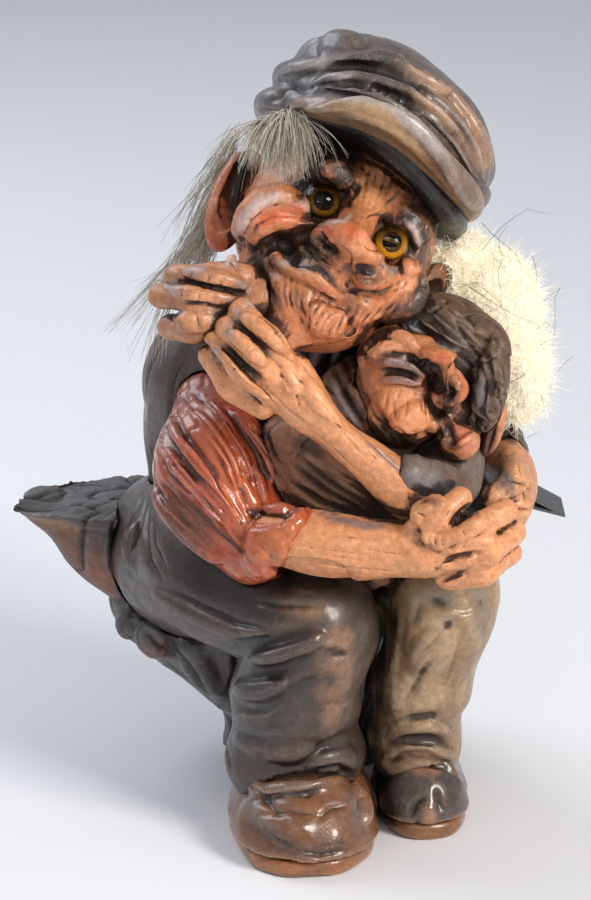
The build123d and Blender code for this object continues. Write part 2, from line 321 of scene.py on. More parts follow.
class Clay:
    """A cast piece: a fine even skin over CAD nodes that takes tool strokes and paint.

    Args:
        name: the piece's name.
        nodes: the CAD nodes it stands for.
        grain: size of its faces, in millimetres.
        soften: rounds of smoothing.
        rolls: radius, lift and paths of clay laid on before the skin.
        over: neighbours that the rolls reach over.
    """

    ROLL_SIDES = 10
    DRAG_STEPS = 25
    SINK_FADE_PX = 7
    DRAWN_OUT = 0.88
    HOLLOW_ROUNDS = (3, 8, 18)
    HOLLOW_DEPTH = 0.16
    REACH_WIDTHS = 2.4
    END_SHARE, END_LEAST = 0.3, 0.08
    FAINTEST = 0.01
    FURROW_EDGE = 3.2
    STREAK_EDGE, STREAK_GAP = 2.2, 0.1
    BRISTLES = ((7, 1.6, 0.0, 0.25), (8, 0.7, 0.5, 0.15))
    BRUSH_CORE, BRUSH_GAP, BRUSH_EDGE = 0.9, 0.12, 1.35
    DRYBRUSH_SHEEN_FACING = 0.35

    def __init__(
        self,
        name: str,
        nodes: tuple[str, ...],
        grain: float = 0.7,
        soften: int = 4,
        rolls: ToolRows = (),
        over: tuple[str, ...] = (),
    ) -> None:
        """Lays the skin."""
        self.name = name
        self.nodes = nodes
        mesh = self._joined(rolls, over)
        self.obj = bpy.data.objects.new(name, mesh)
        bpy.context.scene.collection.objects.link(self.obj)
        only(self.obj)
        bpy.ops.object.mode_set(mode="EDIT")
        bpy.ops.mesh.select_all(action="SELECT")
        bpy.ops.mesh.remove_doubles(threshold=1e-6)
        bpy.ops.mesh.normals_make_consistent(inside=False)
        bpy.ops.object.mode_set(mode="OBJECT")
        self._apply("REMESH", mode="VOXEL", voxel_size=grain * MM)
        self._apply("SMOOTH", factor=0.5, iterations=soften)
        self._read()
        self.tint = np.ones((len(self.co), 3)) * 0.5

    @staticmethod
    def _faces(node: str) -> tuple[np.ndarray, np.ndarray]:
        """Returns a node's points in the frame and its triangles.

        Args:
            node: the CAD node's name.

        Returns:
            The points and the triangles.
        """
        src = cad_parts[node]
        m = src.data
        co = np.empty(len(m.vertices) * 3)
        m.vertices.foreach_get("co", co)
        w = np.array(src.matrix_world)
        m.calc_loop_triangles()
        tri = np.empty(len(m.loop_triangles) * 3, np.int32)
        m.loop_triangles.foreach_get("vertices", tri)
        return co.reshape(-1, 3) @ w[:3, :3].T + w[:3, 3], tri.reshape(-1, 3)

    def _joined(self, rolls: ToolRows, over: tuple[str, ...]) -> bpy.types.Mesh:
        """Returns one mesh with copies of the nodes' faces in the frame, and the rolls laid on them.

        Args:
            rolls: radius, lift and paths of the clay.
            over: neighbours that the rolls reach over.

        Returns:
            The mesh.
        """
        points, faces, start = [], [], 0
        for node in (*self.nodes, *over):
            co, tri = self._faces(node)
            points.append(co)
            faces.append(tri + start)
            start += len(co)
        if rolls:
            self.tree = BVHTree.FromPolygons(np.concatenate(points).tolist(), np.concatenate(faces).tolist())
        own = len(self.nodes)
        points, faces = points[:own], faces[:own]
        start = sum(len(p) for p in points)
        for roll in coils(rolls):
            line, _, normal = self.cast(resampled(roll.path, 3.0))
            if len(line) < 3:
                continue
            line = line + normal * roll.lift * MM
            t = np.linspace(-1, 1, len(line))
            radius = roll.radius * MM * np.sqrt(np.clip(1 - np.abs(t) ** 3, 0.02, 1))
            sides = self.ROLL_SIDES
            p, f = tubes(line[None], radius[None], sides)
            ends = np.array([line[0], line[-1]])
            n = len(p)
            fan = [(n, (i + 1) % sides, i) for i in range(sides)]
            fan += [(n + 1, n - sides + i, n - sides + (i + 1) % sides) for i in range(sides)]
            points.append(np.concatenate((p, ends)))
            faces.append(np.concatenate((f, np.array(fan))) + start)
            start += n + 2
        return mesh_of(self.name, np.concatenate(points), np.concatenate(faces))

    def _apply(self, kind: str, **settings: object) -> None:
        """Adds a modifier, sets it up and applies it.

        Args:
            kind: the modifier's type.
            settings: its properties.
        """
        mod = self.obj.modifiers.new(kind.lower(), kind)
        for key, value in settings.items():
            setattr(mod, key, value)
        only(self.obj)
        bpy.ops.object.modifier_apply(modifier=mod.name)

    def _read(self) -> None:
        """Reads points, normals and edges back from the mesh."""
        m = self.obj.data
        self.co = np.empty(len(m.vertices) * 3)
        m.vertices.foreach_get("co", self.co)
        self.co = self.co.reshape(-1, 3)
        edges = np.empty(len(m.edges) * 2, np.int32)
        m.edges.foreach_get("vertices", edges)
        self.edges = edges.reshape(-1, 2)
        self.degree = np.maximum(np.bincount(self.edges.ravel(), minlength=len(self.co)), 1)
        self._normals()

    def _normals(self) -> None:
        """Reads the normals and makes the tree that rays are cast at."""
        m = self.obj.data
        self.no = np.empty(len(m.vertices) * 3)
        m.vertices.foreach_get("normal", self.no)
        self.no = self.no.reshape(-1, 3)
        self.tree = BVHTree.FromObject(self.obj, bpy.context.evaluated_depsgraph_get())

    def write(self) -> None:
        """Puts the worked points back into the mesh."""
        self.obj.data.vertices.foreach_set("co", self.co.ravel())
        self.obj.data.update()
        self._normals()

    def around(self, values: np.ndarray) -> np.ndarray:
        """Returns the mean of each point's neighbours.

        Args:
            values: one value or row for each point.

        Returns:
            The means.
        """
        a, b = self.edges.T
        n = len(self.co)
        if values.ndim == 1:
            total = np.bincount(a, values[b], n) + np.bincount(b, values[a], n)
            return total / self.degree
        return np.stack([self.around(values[:, i]) for i in range(values.shape[1])], axis=1)

    def cast(self, pixels: np.ndarray) -> tuple[np.ndarray, np.ndarray, np.ndarray]:
        """Returns where pixels land on the piece, which of them do, and the normals there.

        Args:
            pixels: one row for each pixel.

        Returns:
            The points, the rows that landed and the normals.
        """
        points, kept, normals = [], [], []
        start = Vector(CAMERA.place)
        for i, d in enumerate(CAMERA.rays(pixels)):
            hit, normal = self.tree.ray_cast(start, Vector(d))[:2]
            if hit is not None:
                points.append(hit)
                kept.append(i)
                normals.append(normal if normal.dot(Vector(d)) < 0 else -normal)
        return np.array(points).reshape(-1, 3), np.array(kept, int), np.array(normals).reshape(-1, 3)

    def reach(self, path: Path, width: float) -> tuple[np.ndarray, np.ndarray]:
        """Finds what a path works on, fading at its ends.

        Args:
            path: pixels over the photograph.
            width: reach of the tool, in millimetres.

        Returns:
            The points near the path and how strongly it works on each.
        """
        pixels = resampled(path)
        line, kept, _ = self.cast(pixels)
        if not len(line):
            return np.zeros(0, int), np.zeros(0)
        t = kept / max(1, len(pixels) - 1)
        ends = np.sqrt(np.clip(np.minimum(t, 1 - t) / self.END_SHARE, self.END_LEAST, 1))
        r = self.REACH_WIDTHS * width * MM
        near = np.nonzero(np.all((self.co > line.min(0) - r) & (self.co < line.max(0) + r), axis=1))[0]
        best = np.zeros(len(near))
        for point, end in zip(line, ends):
            d2 = ((self.co[near] - point) ** 2).sum(1)
            best = np.maximum(best, end * np.exp(-d2 / (width * MM) ** 2))
        some = best > self.FAINTEST
        return near[some], best[some]

    def work(self, rows: ToolRows) -> None:
        """Pulls the tool strokes over the piece.

        Args:
            rows: width, rise and paths.
        """
        move = np.zeros(len(self.co))
        for s in strokes(rows):
            i, w = self.reach(s.path, s.width)
            move[i] += w * s.rise * MM
        self.co += self.no * move[:, None]
        self.write()

    def grab(self, reach: float, start: str, end: str) -> None:
        """Drags the clay across the picture, from lines drawn over it to where they should be.

        Args:
            reach: how far round a line the clay follows, in pixels.
            start: the lines now, as paths.
            end: the same lines after the drag.
        """
        seen, depth = CAMERA.pixels(self.co)
        move, total = np.zeros_like(seen), np.zeros(len(seen))
        for a, b in zip(paths(start), paths(end), strict=True):
            now, then = shared_out(a, self.DRAG_STEPS), shared_out(b, self.DRAG_STEPS)
            for here, there in zip(now, then):
                w = np.exp(-((seen - here) ** 2).sum(1) / reach**2)
                move += w[:, None] * (there - here)
                total += w
        move /= np.maximum(total, 1)[:, None]
        scale = (depth / CAMERA.focal_px)[:, None]
        self.co += scale * (move[:, :1] * np.array((1.0, 0, 0)) - move[:, 1:] * CAMERA.up)
        self.write()

    def sink(self, line: str, back: float) -> np.ndarray:
        """Pushes back what hangs below a line over the photograph.

        Args:
            line: one path from left to right.
            back: how far it goes, in millimetres.

        Returns:
            How far each point lies below the line, from 0 to 1.
        """
        edge = np.array(paths(line)[0])
        seen, _ = CAMERA.pixels(self.co)
        under = seen[:, 1] - np.interp(seen[:, 0], edge[:, 0], edge[:, 1])
        low = np.clip(under / self.SINK_FADE_PX, 0, 1)
        self.co += CAMERA.rays(seen) * (low * back * MM)[:, None]
        self.write()
        return low

    def cloud(self, seed: int, cell: float, along: Way | None = None) -> np.ndarray:
        """Returns noise from -1 to 1 at each point, drawn out along a direction where one is given.

        Args:
            seed: picks the noise.
            cell: size of its cells, in millimetres.
            along: the direction.

        Returns:
            The noise.
        """
        p = self.co
        if along is not None:
            way = np.array(along) / np.linalg.norm(along)
            p = p - self.DRAWN_OUT * (p @ way)[:, None] * way
        return Noise(seed, cell * MM).at(p + 1.0)

    def crumple(self, seed: int, cell: float, rise: float, along: Way | None = None) -> None:
        """Makes the whole skin gently uneven, as hand work is."""
        self.co += self.no * (self.cloud(seed, cell, along) * rise * MM)[:, None]
        self.write()

    def swell(self, low: float, high: float, rise: float) -> None:
        """Pushes the sides out, most at one height and fading to nothing at another.

        Args:
            low: height of the most swelling, in millimetres.
            high: height where it ends.
            rise: how far the sides go out.
        """
        fade = np.clip((high - self.co[:, 2] / MM) / (high - low), 0, 1)
        flat = self.no * (1, 1, 0)
        self.co += flat * (fade * rise * MM)[:, None]
        self.write()

    def furrow(self, seed: int, cell: float, depth: float, along: Way) -> None:
        """Cuts wandering furrows along a direction.

        Args:
            seed: picks the furrows.
            cell: how far apart they are, in millimetres.
            depth: of a furrow.
            along: the direction.
        """
        value = np.clip(1 - np.abs(self.cloud(seed, cell, along)) * self.FURROW_EDGE, 0, 1)
        self.co -= self.no * (value * depth * MM)[:, None]
        self.write()

    def streak(self, seed: int, cell: float, colour: Rgb, strength: float, along: Way) -> None:
        """Drags broken streaks of a colour along a direction.

        Args:
            seed: picks the streaks.
            cell: their width, in millimetres.
            colour: of the paint.
            strength: how well it covers.
            along: the direction.
        """
        broken = self.cloud(seed, cell, along) * self.STREAK_EDGE - self.STREAK_GAP
        w = np.clip(broken, 0, 1) * strength
        self.tint += (linear(colour) - self.tint) * w[:, None]

    def coat(self, colour: Rgb) -> None:
        """Lays the ground colour."""
        self.tint[:] = linear(colour)

    def paint(self, rows: PaintRows) -> None:
        """Lays paint strokes with broken edges.

        Args:
            rows: width, colour, strength and paths.
        """
        rough = np.zeros(len(self.co))
        for seed, cell, shift, share in self.BRISTLES:
            rough += Noise(seed, cell * MM).at(self.co + shift) * share
        for b in dabs(rows):
            i, w = self.reach(b.path, b.width)
            w = w + rough[i] * (w < self.BRUSH_CORE) - self.BRUSH_GAP
            w = np.clip(w * self.BRUSH_EDGE, 0, 1) * b.strength
            self.tint[i] += (linear(b.colour) - self.tint[i]) * w[:, None]

    def dry_brush_and_sheen(self, colour: Rgb, strength: float, toward: Way = (-0.45, 0.1, 0.9)) -> None:
        """Brushes a colour over what faces one way, in broken patches: pale drybrush paint with a painted
        sheen of the light from that side.

        Args:
            colour: of the paint.
            strength: how well it covers.
            toward: the way.
        """
        way = np.array(toward) / np.linalg.norm(toward)
        # painted sheen: strongest on the sides that face the given way
        face = np.clip((self.no @ way - self.DRYBRUSH_SHEEN_FACING) / (1 - self.DRYBRUSH_SHEEN_FACING), 0, 1)
        patch = 0.5 + 0.5 * Noise(21, 7 * MM).at(self.co) + 0.35 * Noise(22, 2.2 * MM).at(self.co)
        w = np.clip(face * 1.3 * patch, 0, 1) * strength
        self.tint += (linear(colour) - self.tint) * w[:, None]

    def hollows(self) -> np.ndarray:
        """Returns how far each point lies under its smoothed surroundings, from -1 to 1.

        Returns:
            One value for each point.
        """
        soft = self.co
        total = np.zeros(len(self.co))
        for step in range(1, self.HOLLOW_ROUNDS[-1] + 1):
            soft = 0.5 * soft + 0.5 * self.around(soft)
            if step in self.HOLLOW_ROUNDS:
                scale = self.HOLLOW_DEPTH * MM * math.sqrt(step)
                total += np.einsum("ij,ij->i", soft - self.co, self.no) / scale
        return np.clip(total, -3, 3) / 3

    def attribute(self, name: str, kind: str, values: np.ndarray) -> None:
        """Stores one value or colour for each point.

        Args:
            name: the attribute's name.
            kind: its type.
            values: what it holds.
        """
        layer = self.obj.data.attributes.new(name, kind, "POINT")
        if kind == "FLOAT_COLOR":
            values = np.concatenate((values, np.ones((len(values), 1))), axis=1)
            layer.data.foreach_set("color", values.astype(np.float32).ravel())
        else:
            layer.data.foreach_set("value", values.astype(np.float32))

    def fire(self, material: bpy.types.Material, slot: str) -> None:
        """Finishes the piece: paint goes into the mesh and the piece joins the frame.

        Args:
            material: its finish.
            slot: the record's material slot.
        """
        self.attribute("tint", "FLOAT_COLOR", np.clip(self.tint, 0, 1))
        # cavity and recess set the painted shade in hollows and where pieces crowd in, with the dark washes;
        # cavity also sets the drybrush and painted highlight on high spots
        self.attribute("cavity", "FLOAT", self.hollows())
        self.attribute("recess", "FLOAT", SHADE.at(self.co, self.no))
        only(self.obj)
        bpy.ops.object.shade_smooth()
        settle(self.obj, material, slot, *self.nodes)


def mesh_of(name: str, points: np.ndarray, faces: np.ndarray) -> bpy.types.Mesh:
    """Returns a mesh made of points and equal-sided faces.

    Args:
        name: the mesh's name.
        points: places in metres.
        faces: rows of point numbers.

    Returns:
        The mesh.
    """
    sides = faces.shape[1]
    m = bpy.data.meshes.new(name)
    m.vertices.add(len(points))
    m.vertices.foreach_set("co", np.asarray(points, np.float32).ravel())
    m.loops.add(faces.size)
    m.loops.foreach_set("vertex_index", faces.astype(np.int32).ravel())
    m.polygons.add(len(faces))
    m.polygons.foreach_set("loop_start", np.arange(0, faces.size, sides, dtype=np.int32))
    m.update(calc_edges=True)
    return m


def settle(obj: bpy.types.Object, material: bpy.types.Material, slot: str, *nodes: str) -> None:
    """Gives a piece its finish and ties it to the frame.

    Args:
        obj: the piece.
        material: its finish.
        slot: the record's material slot; not used.
        nodes: the CAD nodes that it stands for.
    """
    obj.data.materials.clear()
    obj.data.materials.append(material)
    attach(obj, "root")
    if nodes:
        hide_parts(*nodes)
    log.info("%s: %d faces", obj.name, len(obj.data.polygons))


class Shade:
    """How closed in each place is, read from a grid of all the cast pieces; the paint is darkened there as
    painted shade.
    """

    CELL = 2.0 * MM
    MARGIN = 12
    LOOKS = ((4.5, 0.5), (8.0, 0.5))
    CROWDING = 2.4

    def fill(self, clays: list[Clay]) -> None:
        """Counts the surface points of every piece, softened over its neighbours.

        Args:
            clays: the cast pieces.
        """
        points = np.concatenate([c.co for c in clays])
        self.low = points.min(0) - self.MARGIN * self.CELL
        size = np.ceil((points.max(0) - self.low) / self.CELL).astype(int) + self.MARGIN
        cell = ((points - self.low) / self.CELL).astype(int)
        flat = np.ravel_multi_index(cell.T, size)
        grid = (np.bincount(flat, minlength=size.prod()) > 0).astype(float).reshape(size)
        for axis in range(3):
            for _ in range(2):
                grid = (np.roll(grid, 1, axis) + 2 * grid + np.roll(grid, -1, axis)) / 4
        self.grid = grid

    def at(self, points: np.ndarray, normals: np.ndarray) -> np.ndarray:
        """Returns 0 in the open and up to 1 where other surfaces crowd in.

        Args:
            points: places in metres.
            normals: the way that each faces.

        Returns:
            The values.
        """
        total = np.zeros(len(points))
        for out, weight in self.LOOKS:
            cell = ((points + normals * out * MM - self.low) / self.CELL).astype(int)
            cell = np.clip(cell, 0, np.array(self.grid.shape) - 1)
            total += weight * self.grid[cell[:, 0], cell[:, 1], cell[:, 2]]
        return np.clip(total * self.CROWDING, 0, 1)


SHADE = Shade()


class Nodes:
    """A small helper that strings shader nodes together."""

    def __init__(self, tree: bpy.types.NodeTree) -> None:
        """Takes the tree to add to."""
        self.tree = tree

    def feed(self, node: bpy.types.Node, inputs: dict[str | int, object]) -> None:
        """Sets a node's inputs.

        Args:
            node: the node to feed.
            inputs: constants or other nodes' outputs, by input.
        """
        for key, value in inputs.items():
            if isinstance(value, Socket):
                self.tree.links.new(value, node.inputs[key])
            else:
                node.inputs[key].default_value = value

    def add(
        self, kind: str, inputs: dict[str | int, object] | None = None, **settings: object
    ) -> bpy.types.Node:
        """Adds a node.

        Args:
            kind: the node's type.
            inputs: constants or other nodes' outputs, by input.
            settings: the node's own properties.

        Returns:
            The node.
        """
        node = self.tree.nodes.new(kind)
        for key, value in settings.items():
            setattr(node, key, value)
        self.feed(node, inputs or {})
        return node

    def mix(self, factor: object, a: object, b: object, blend: str = "MIX") -> Socket:
        """Returns a mix of two colours."""
        inputs = {0: factor, 6: a, 7: b}
        return self.add("ShaderNodeMix", inputs, data_type="RGBA", blend_type=blend).outputs[2]

    def math(self, operation: str, a: object, b: object = 0.0, clamp: bool = False) -> Socket:
        """Returns a sum, product or the like."""
        return self.add("ShaderNodeMath", {0: a, 1: b}, operation=operation, use_clamp=clamp).outputs[0]

    def ramp(
        self, value: object, low: float, high: float, to_low: float = 0, to_high: float = 1
    ) -> Socket:
        """Returns a value mapped from one range to another, held at its ends."""
        inputs = {"Value": value, "From Min": low, "From Max": high, "To Min": to_low, "To Max": to_high}
        return self.add("ShaderNodeMapRange", inputs, interpolation_type="SMOOTHSTEP").outputs["Result"]

    def noise(self, vector: object, scale: float, detail: float = 3, rough: float = 0.55) -> Socket:
        """Returns a cloudy value."""
        inputs = {"Vector": vector, "Scale": scale, "Detail": detail, "Roughness": rough}
        return self.add("ShaderNodeTexNoise", inputs).outputs["Fac"]


class Blank:
    """A new material with its shader and its object coordinates.

    Args:
        name: the material's name.
    """

    def __init__(self, name: str) -> None:
        """Starts the material."""
        self.material = bpy.data.materials.new(name)
        self.material.use_nodes = True
        self.nodes = Nodes(self.material.node_tree)
        self.shader = self.material.node_tree.nodes["Principled BSDF"]
        self.where = self.nodes.add("ShaderNodeTexCoord").outputs["Object"]

    def attribute(self, name: str, output: str) -> Socket:
        """Returns an attribute of the piece's mesh."""
        return self.nodes.add("ShaderNodeAttribute", attribute_name=name).outputs[output]

    def finish(self, inputs: dict[str, object]) -> bpy.types.Material:
        """Feeds the shader and returns the material."""
        self.nodes.feed(self.shader, inputs)
        return self.material


class Effect:
    """A shader node group shared by several finishes."""

    def __init__(self, name: str, ins: dict[str, str], outs: dict[str, str]) -> None:
        """Makes an empty group with named sockets.

        Args:
            name: the group's name.
            ins: the type of each input.
            outs: the type of each output.
        """
        self.tree = bpy.data.node_groups.new(name, "ShaderNodeTree")
        for label, kind in ins.items():
            self.tree.interface.new_socket(label, in_out="INPUT", socket_type=kind)
        for label, kind in outs.items():
            self.tree.interface.new_socket(label, in_out="OUTPUT", socket_type=kind)
        self.nodes = Nodes(self.tree)
        self.start = self.tree.nodes.new("NodeGroupInput").outputs
        self.end = self.tree.nodes.new("NodeGroupOutput").inputs

    def out(self, label: str, value: Socket) -> None:
        """Wires a value to an output."""
        self.tree.links.new(value, self.end[label])


VALUE, COLOUR, VECTOR = "NodeSocketFloat", "NodeSocketColor", "NodeSocketVector"


def washes_and_shading_effect() -> Effect:
    """Returns the group that darkens hollows and crowded places with dark washes and painted shade, and
    lightens high spots with drybrush and painted highlight.

    Returns:
        The group.
    """
    ins = {"Colour": COLOUR, "Vector": VECTOR, "Cavity": VALUE, "Recess": VALUE}
    ins |= {"Wash": COLOUR, "Dry": COLOUR, "Wash Amount": VALUE, "Dry Amount": VALUE}
    e = Effect("washes_and_shading", ins, {"Colour": COLOUR, "Mask": VALUE})
    n, i = e.nodes, e.start
    cloud = n.noise(i["Vector"], 420)
    fine = n.noise(i["Vector"], 1900, 2)
    broken = n.math("MULTIPLY", n.math("SUBTRACT", cloud, 0.5), 0.5)
    # painted shade: darker in hollows and where other pieces crowd in, together with the dark washes
    hollow = n.ramp(n.math("ADD", i["Cavity"], broken), 0.05, 0.55)
    closed = n.ramp(n.math("ADD", i["Recess"], broken), 0.45, 1.05)
    dark = n.math("MULTIPLY", n.math("MAXIMUM", hollow, closed), i["Wash Amount"], True)
    shade = n.mix(dark, i["Colour"], i["Wash"])
    # painted highlight: lighter on high spots, together with the drybrush
    raised = n.math("MULTIPLY", i["Cavity"], -1.0)
    high = n.ramp(n.math("ADD", raised, n.math("SUBTRACT", fine, 0.5)), 0.12, 0.6)
    brushed = n.math("MULTIPLY", high, i["Dry Amount"])
    light = n.math("MULTIPLY", brushed, n.math("SUBTRACT", 1.0, closed), True)
    shade = n.mix(light, shade, i["Dry"])
    mottle = n.ramp(cloud, 0.25, 0.75, 0.8, 1.16)
    grain = n.ramp(fine, 0.3, 0.7, 0.9, 1.08)
    both = n.math("MULTIPLY", mottle, grain)
    value = n.add("ShaderNodeCombineColor", {0: both, 1: both, 2: both}).outputs[0]
    e.out("Colour", n.mix(1.0, shade, value, "MULTIPLY"))
    e.out("Mask", dark)
    return e


def varnish_effect() -> Effect:
    """Returns the group for brushed varnish: an uneven shine and fine tool marks.

    Returns:
        The group.
    """
    ins = {"Vector": VECTOR, "Mask": VALUE, "Shine": VALUE, "Marks": VALUE}
    e = Effect("varnish", ins, {"Roughness": VALUE, "Normal": VECTOR})
    n, i = e.nodes, e.start
    patch = n.noise(i["Vector"], 260, 4)
    rough = n.math("ADD", i["Shine"], n.ramp(patch, 0.3, 0.75, -0.1, 0.16))
    rough = n.math("ADD", rough, n.math("MULTIPLY", i["Mask"], 0.16), True)
    pores = n.noise(i["Vector"], 2600, 3)
    drag = n.noise(i["Vector"], 800, 2)
    height = n.math("ADD", n.math("MULTIPLY", pores, 0.35), drag)
    bump = n.add("ShaderNodeBump", {"Strength": i["Marks"], "Distance": 0.4 * MM, "Height": height})
    e.out("Roughness", rough)
    e.out("Normal", bump.outputs["Normal"])
    return e


@dataclass(frozen=True)
class PaintFinish:
    """Hand-brushed paint under varnish."""

    name: str
    # colours of the dark washes with painted shade in hollows, and of the drybrush with painted highlight on
    # high spots
    wash_shade: Rgb
    dry_highlight: Rgb
    wash_shade_amount: float = 0.9
    dry_highlight_amount: float = 0.35
    shine: float = 0.38
    marks: float = 0.35
    coat: float = 0.35
    coat_roughness: float = 0.16

    def material(self, washes_and_shading: Effect, varnish: Effect) -> bpy.types.Material:
        """Returns the finish as a material.

        Args:
            washes_and_shading: the group that darkens hollows with washes and painted shade and lightens
                high spots with drybrush and painted highlight.
            varnish: the group that gives the shine.

        Returns:
            The material.
        """
        mat = Blank(self.name)
        inputs = {
            "Colour": mat.attribute("tint", "Color"),
            "Vector": mat.where,
            "Cavity": mat.attribute("cavity", "Fac"),
            "Recess": mat.attribute("recess", "Fac"),
            "Wash": (*linear(self.wash_shade), 1),
            "Dry": (*linear(self.dry_highlight), 1),
            "Wash Amount": self.wash_shade_amount,
            "Dry Amount": self.dry_highlight_amount,
        }
        shading = mat.nodes.add("ShaderNodeGroup", inputs, node_tree=washes_and_shading.tree).outputs
        inputs = {"Vector": mat.where, "Mask": shading["Mask"], "Shine": self.shine, "Marks": self.marks}
        shine = mat.nodes.add("ShaderNodeGroup", inputs, node_tree=varnish.tree).outputs
        return mat.finish(
            {
                "Base Color": shading["Colour"],
                "Roughness": shine["Roughness"],
                "Normal": shine["Normal"],
                "Coat Weight": self.coat,
                "Coat Roughness": self.coat_roughness,
            }
        )


class Paint(Enum):
    """The painted finishes."""

    SKIN = PaintFinish("skin_paint", (46, 22, 10), (236, 176, 132), 0.95, 0.32, 0.42, 0.65, 0.22)
    CAP = PaintFinish("cap_paint", (30, 20, 14), (176, 166, 164), 0.9, 0.4, 0.4, 0.4, 0.3)
    RED = PaintFinish("red_paint", (52, 18, 10), (214, 140, 116), 0.85, 0.3, 0.26, 0.3, 0.6)
    DARK = PaintFinish("jacket_paint", (22, 16, 13), (120, 108, 104), 0.9, 0.35, 0.42, 0.4, 0.25)
    DRESS = PaintFinish("dress_paint", (34, 17, 9), (140, 126, 118), 0.9, 0.35, 0.58, 0.7, 0.08)
    TROUSER = PaintFinish("trouser_paint", (24, 16, 12), (134, 118, 106), 0.9, 0.3, 0.4, 0.35, 0.3)
    SHOE = PaintFinish("shoe_paint", (28, 18, 12), (186, 142, 112), 0.85, 0.35, 0.3, 0.35, 0.5)
    BARK = PaintFinish("bark_paint", (26, 20, 17), (128, 122, 120), 0.88, 0.3, 0.44, 0.4, 0.2)
    SOLE = PaintFinish("sole_paint", (30, 18, 11), (186, 132, 88), 0.85, 0.35, 0.3, 0.35, 0.5)
    WOOL = PaintFinish("cream_wool", (240, 226, 194), (255, 250, 236), 0.5, 0.4, 0.9, 0.6, 0.0)


class Workshop:
    """Holds the finishes and the pieces while the group is made."""

    def __init__(self) -> None:
        """Mixes the finishes."""
        washes_and_shading, varnish = washes_and_shading_effect(), varnish_effect()
        self.paints = {p: p.value.material(washes_and_shading, varnish) for p in Paint}
        self.clays: list[tuple[Clay, Paint]] = []

    def keep(self, clay: Clay, paint: Paint) -> Clay:
        """Keeps a piece for the last firing and returns it."""
        self.clays.append((clay, paint))
        return clay

    def fire(self) -> None:
        """Finishes all the cast pieces once every one is in place."""
        SHADE.fill([c for c, _ in self.clays])
        for clay, paint in self.clays:
            clay.fire(self.paints[paint], paint.value.name)


@dataclass
class StumpSeat:
    """The tree stump with the ledge of bark."""

    grain: float = 1.0
    bark: Rgb = (72, 65, 62)
    raw_wood: Rgb = (120, 78, 52)

    BARK_TOOLING = (
        (1.5, -1.6, "143,632 161,648 179,660; 125,612 149,616 177,622; 160,622 170,645 195,676 209,700"),
        (1.4, -1.4, "235,650 237,670 223,706; 191,710 211,708 223,706; 221,726 221,748"),
        (0.8, -0.6, "33,501 44,493 58,490 68,492 60,497 46,499; 40,497 50,493 60,494"),
        (0.8, -0.6, "75,515 100,505 135,490"),
        (0.8, -0.5, "60,512 90,500 120,492; 95,522 115,510 133,500; 70,486 95,484 115,490"),
        (1.0, 0.9, "16,512 35,516 65,518 85,526 105,528 129,524"),
    )
    BARK_PAINT = (
        (4, raw_wood, 0.85, "20,520 60,532 95,540; 40,535 80,555 112,565"),
        (4.5, (134, 76, 46), 0.9, "72,562 98,582 117,596; 95,572 112,580"),
        (2, (168, 130, 92), 0.6, "18,514 50,521 80,528"),
        (3, (122, 78, 50), 0.7, "122,640 140,650 160,658; 160,640 172,655"),
    )
    ROOT_ROLLS = (
        (8, -4, "135,622 150,642 170,660; 185,640 200,672 215,698"),
        (6, -3, "196,690 205,722 218,755; 120,610 124,625 132,640"),
    )

    def build(self, shop: Workshop) -> None:
        """Models and paints the stump.

        Args:
            shop: keeps the pieces.
        """
        c = shop.keep(Clay("bark_seat", ("stump",), self.grain, 5, self.ROOT_ROLLS), Paint.BARK)
        c.crumple(3, 15, 1.3)
        c.furrow(4, 9, 1.2, (0.15, 0.1, 1))
        c.work(self.BARK_TOOLING)
        c.coat(self.bark)
        c.streak(31, 5, (48, 41, 38), 0.6, (0.1, 0.1, 1))
        c.paint(self.BARK_PAINT)
        # pale grey drybrush with painted cool sheen on what faces up and to the left
        c.dry_brush_and_sheen((118, 116, 120), 0.75)


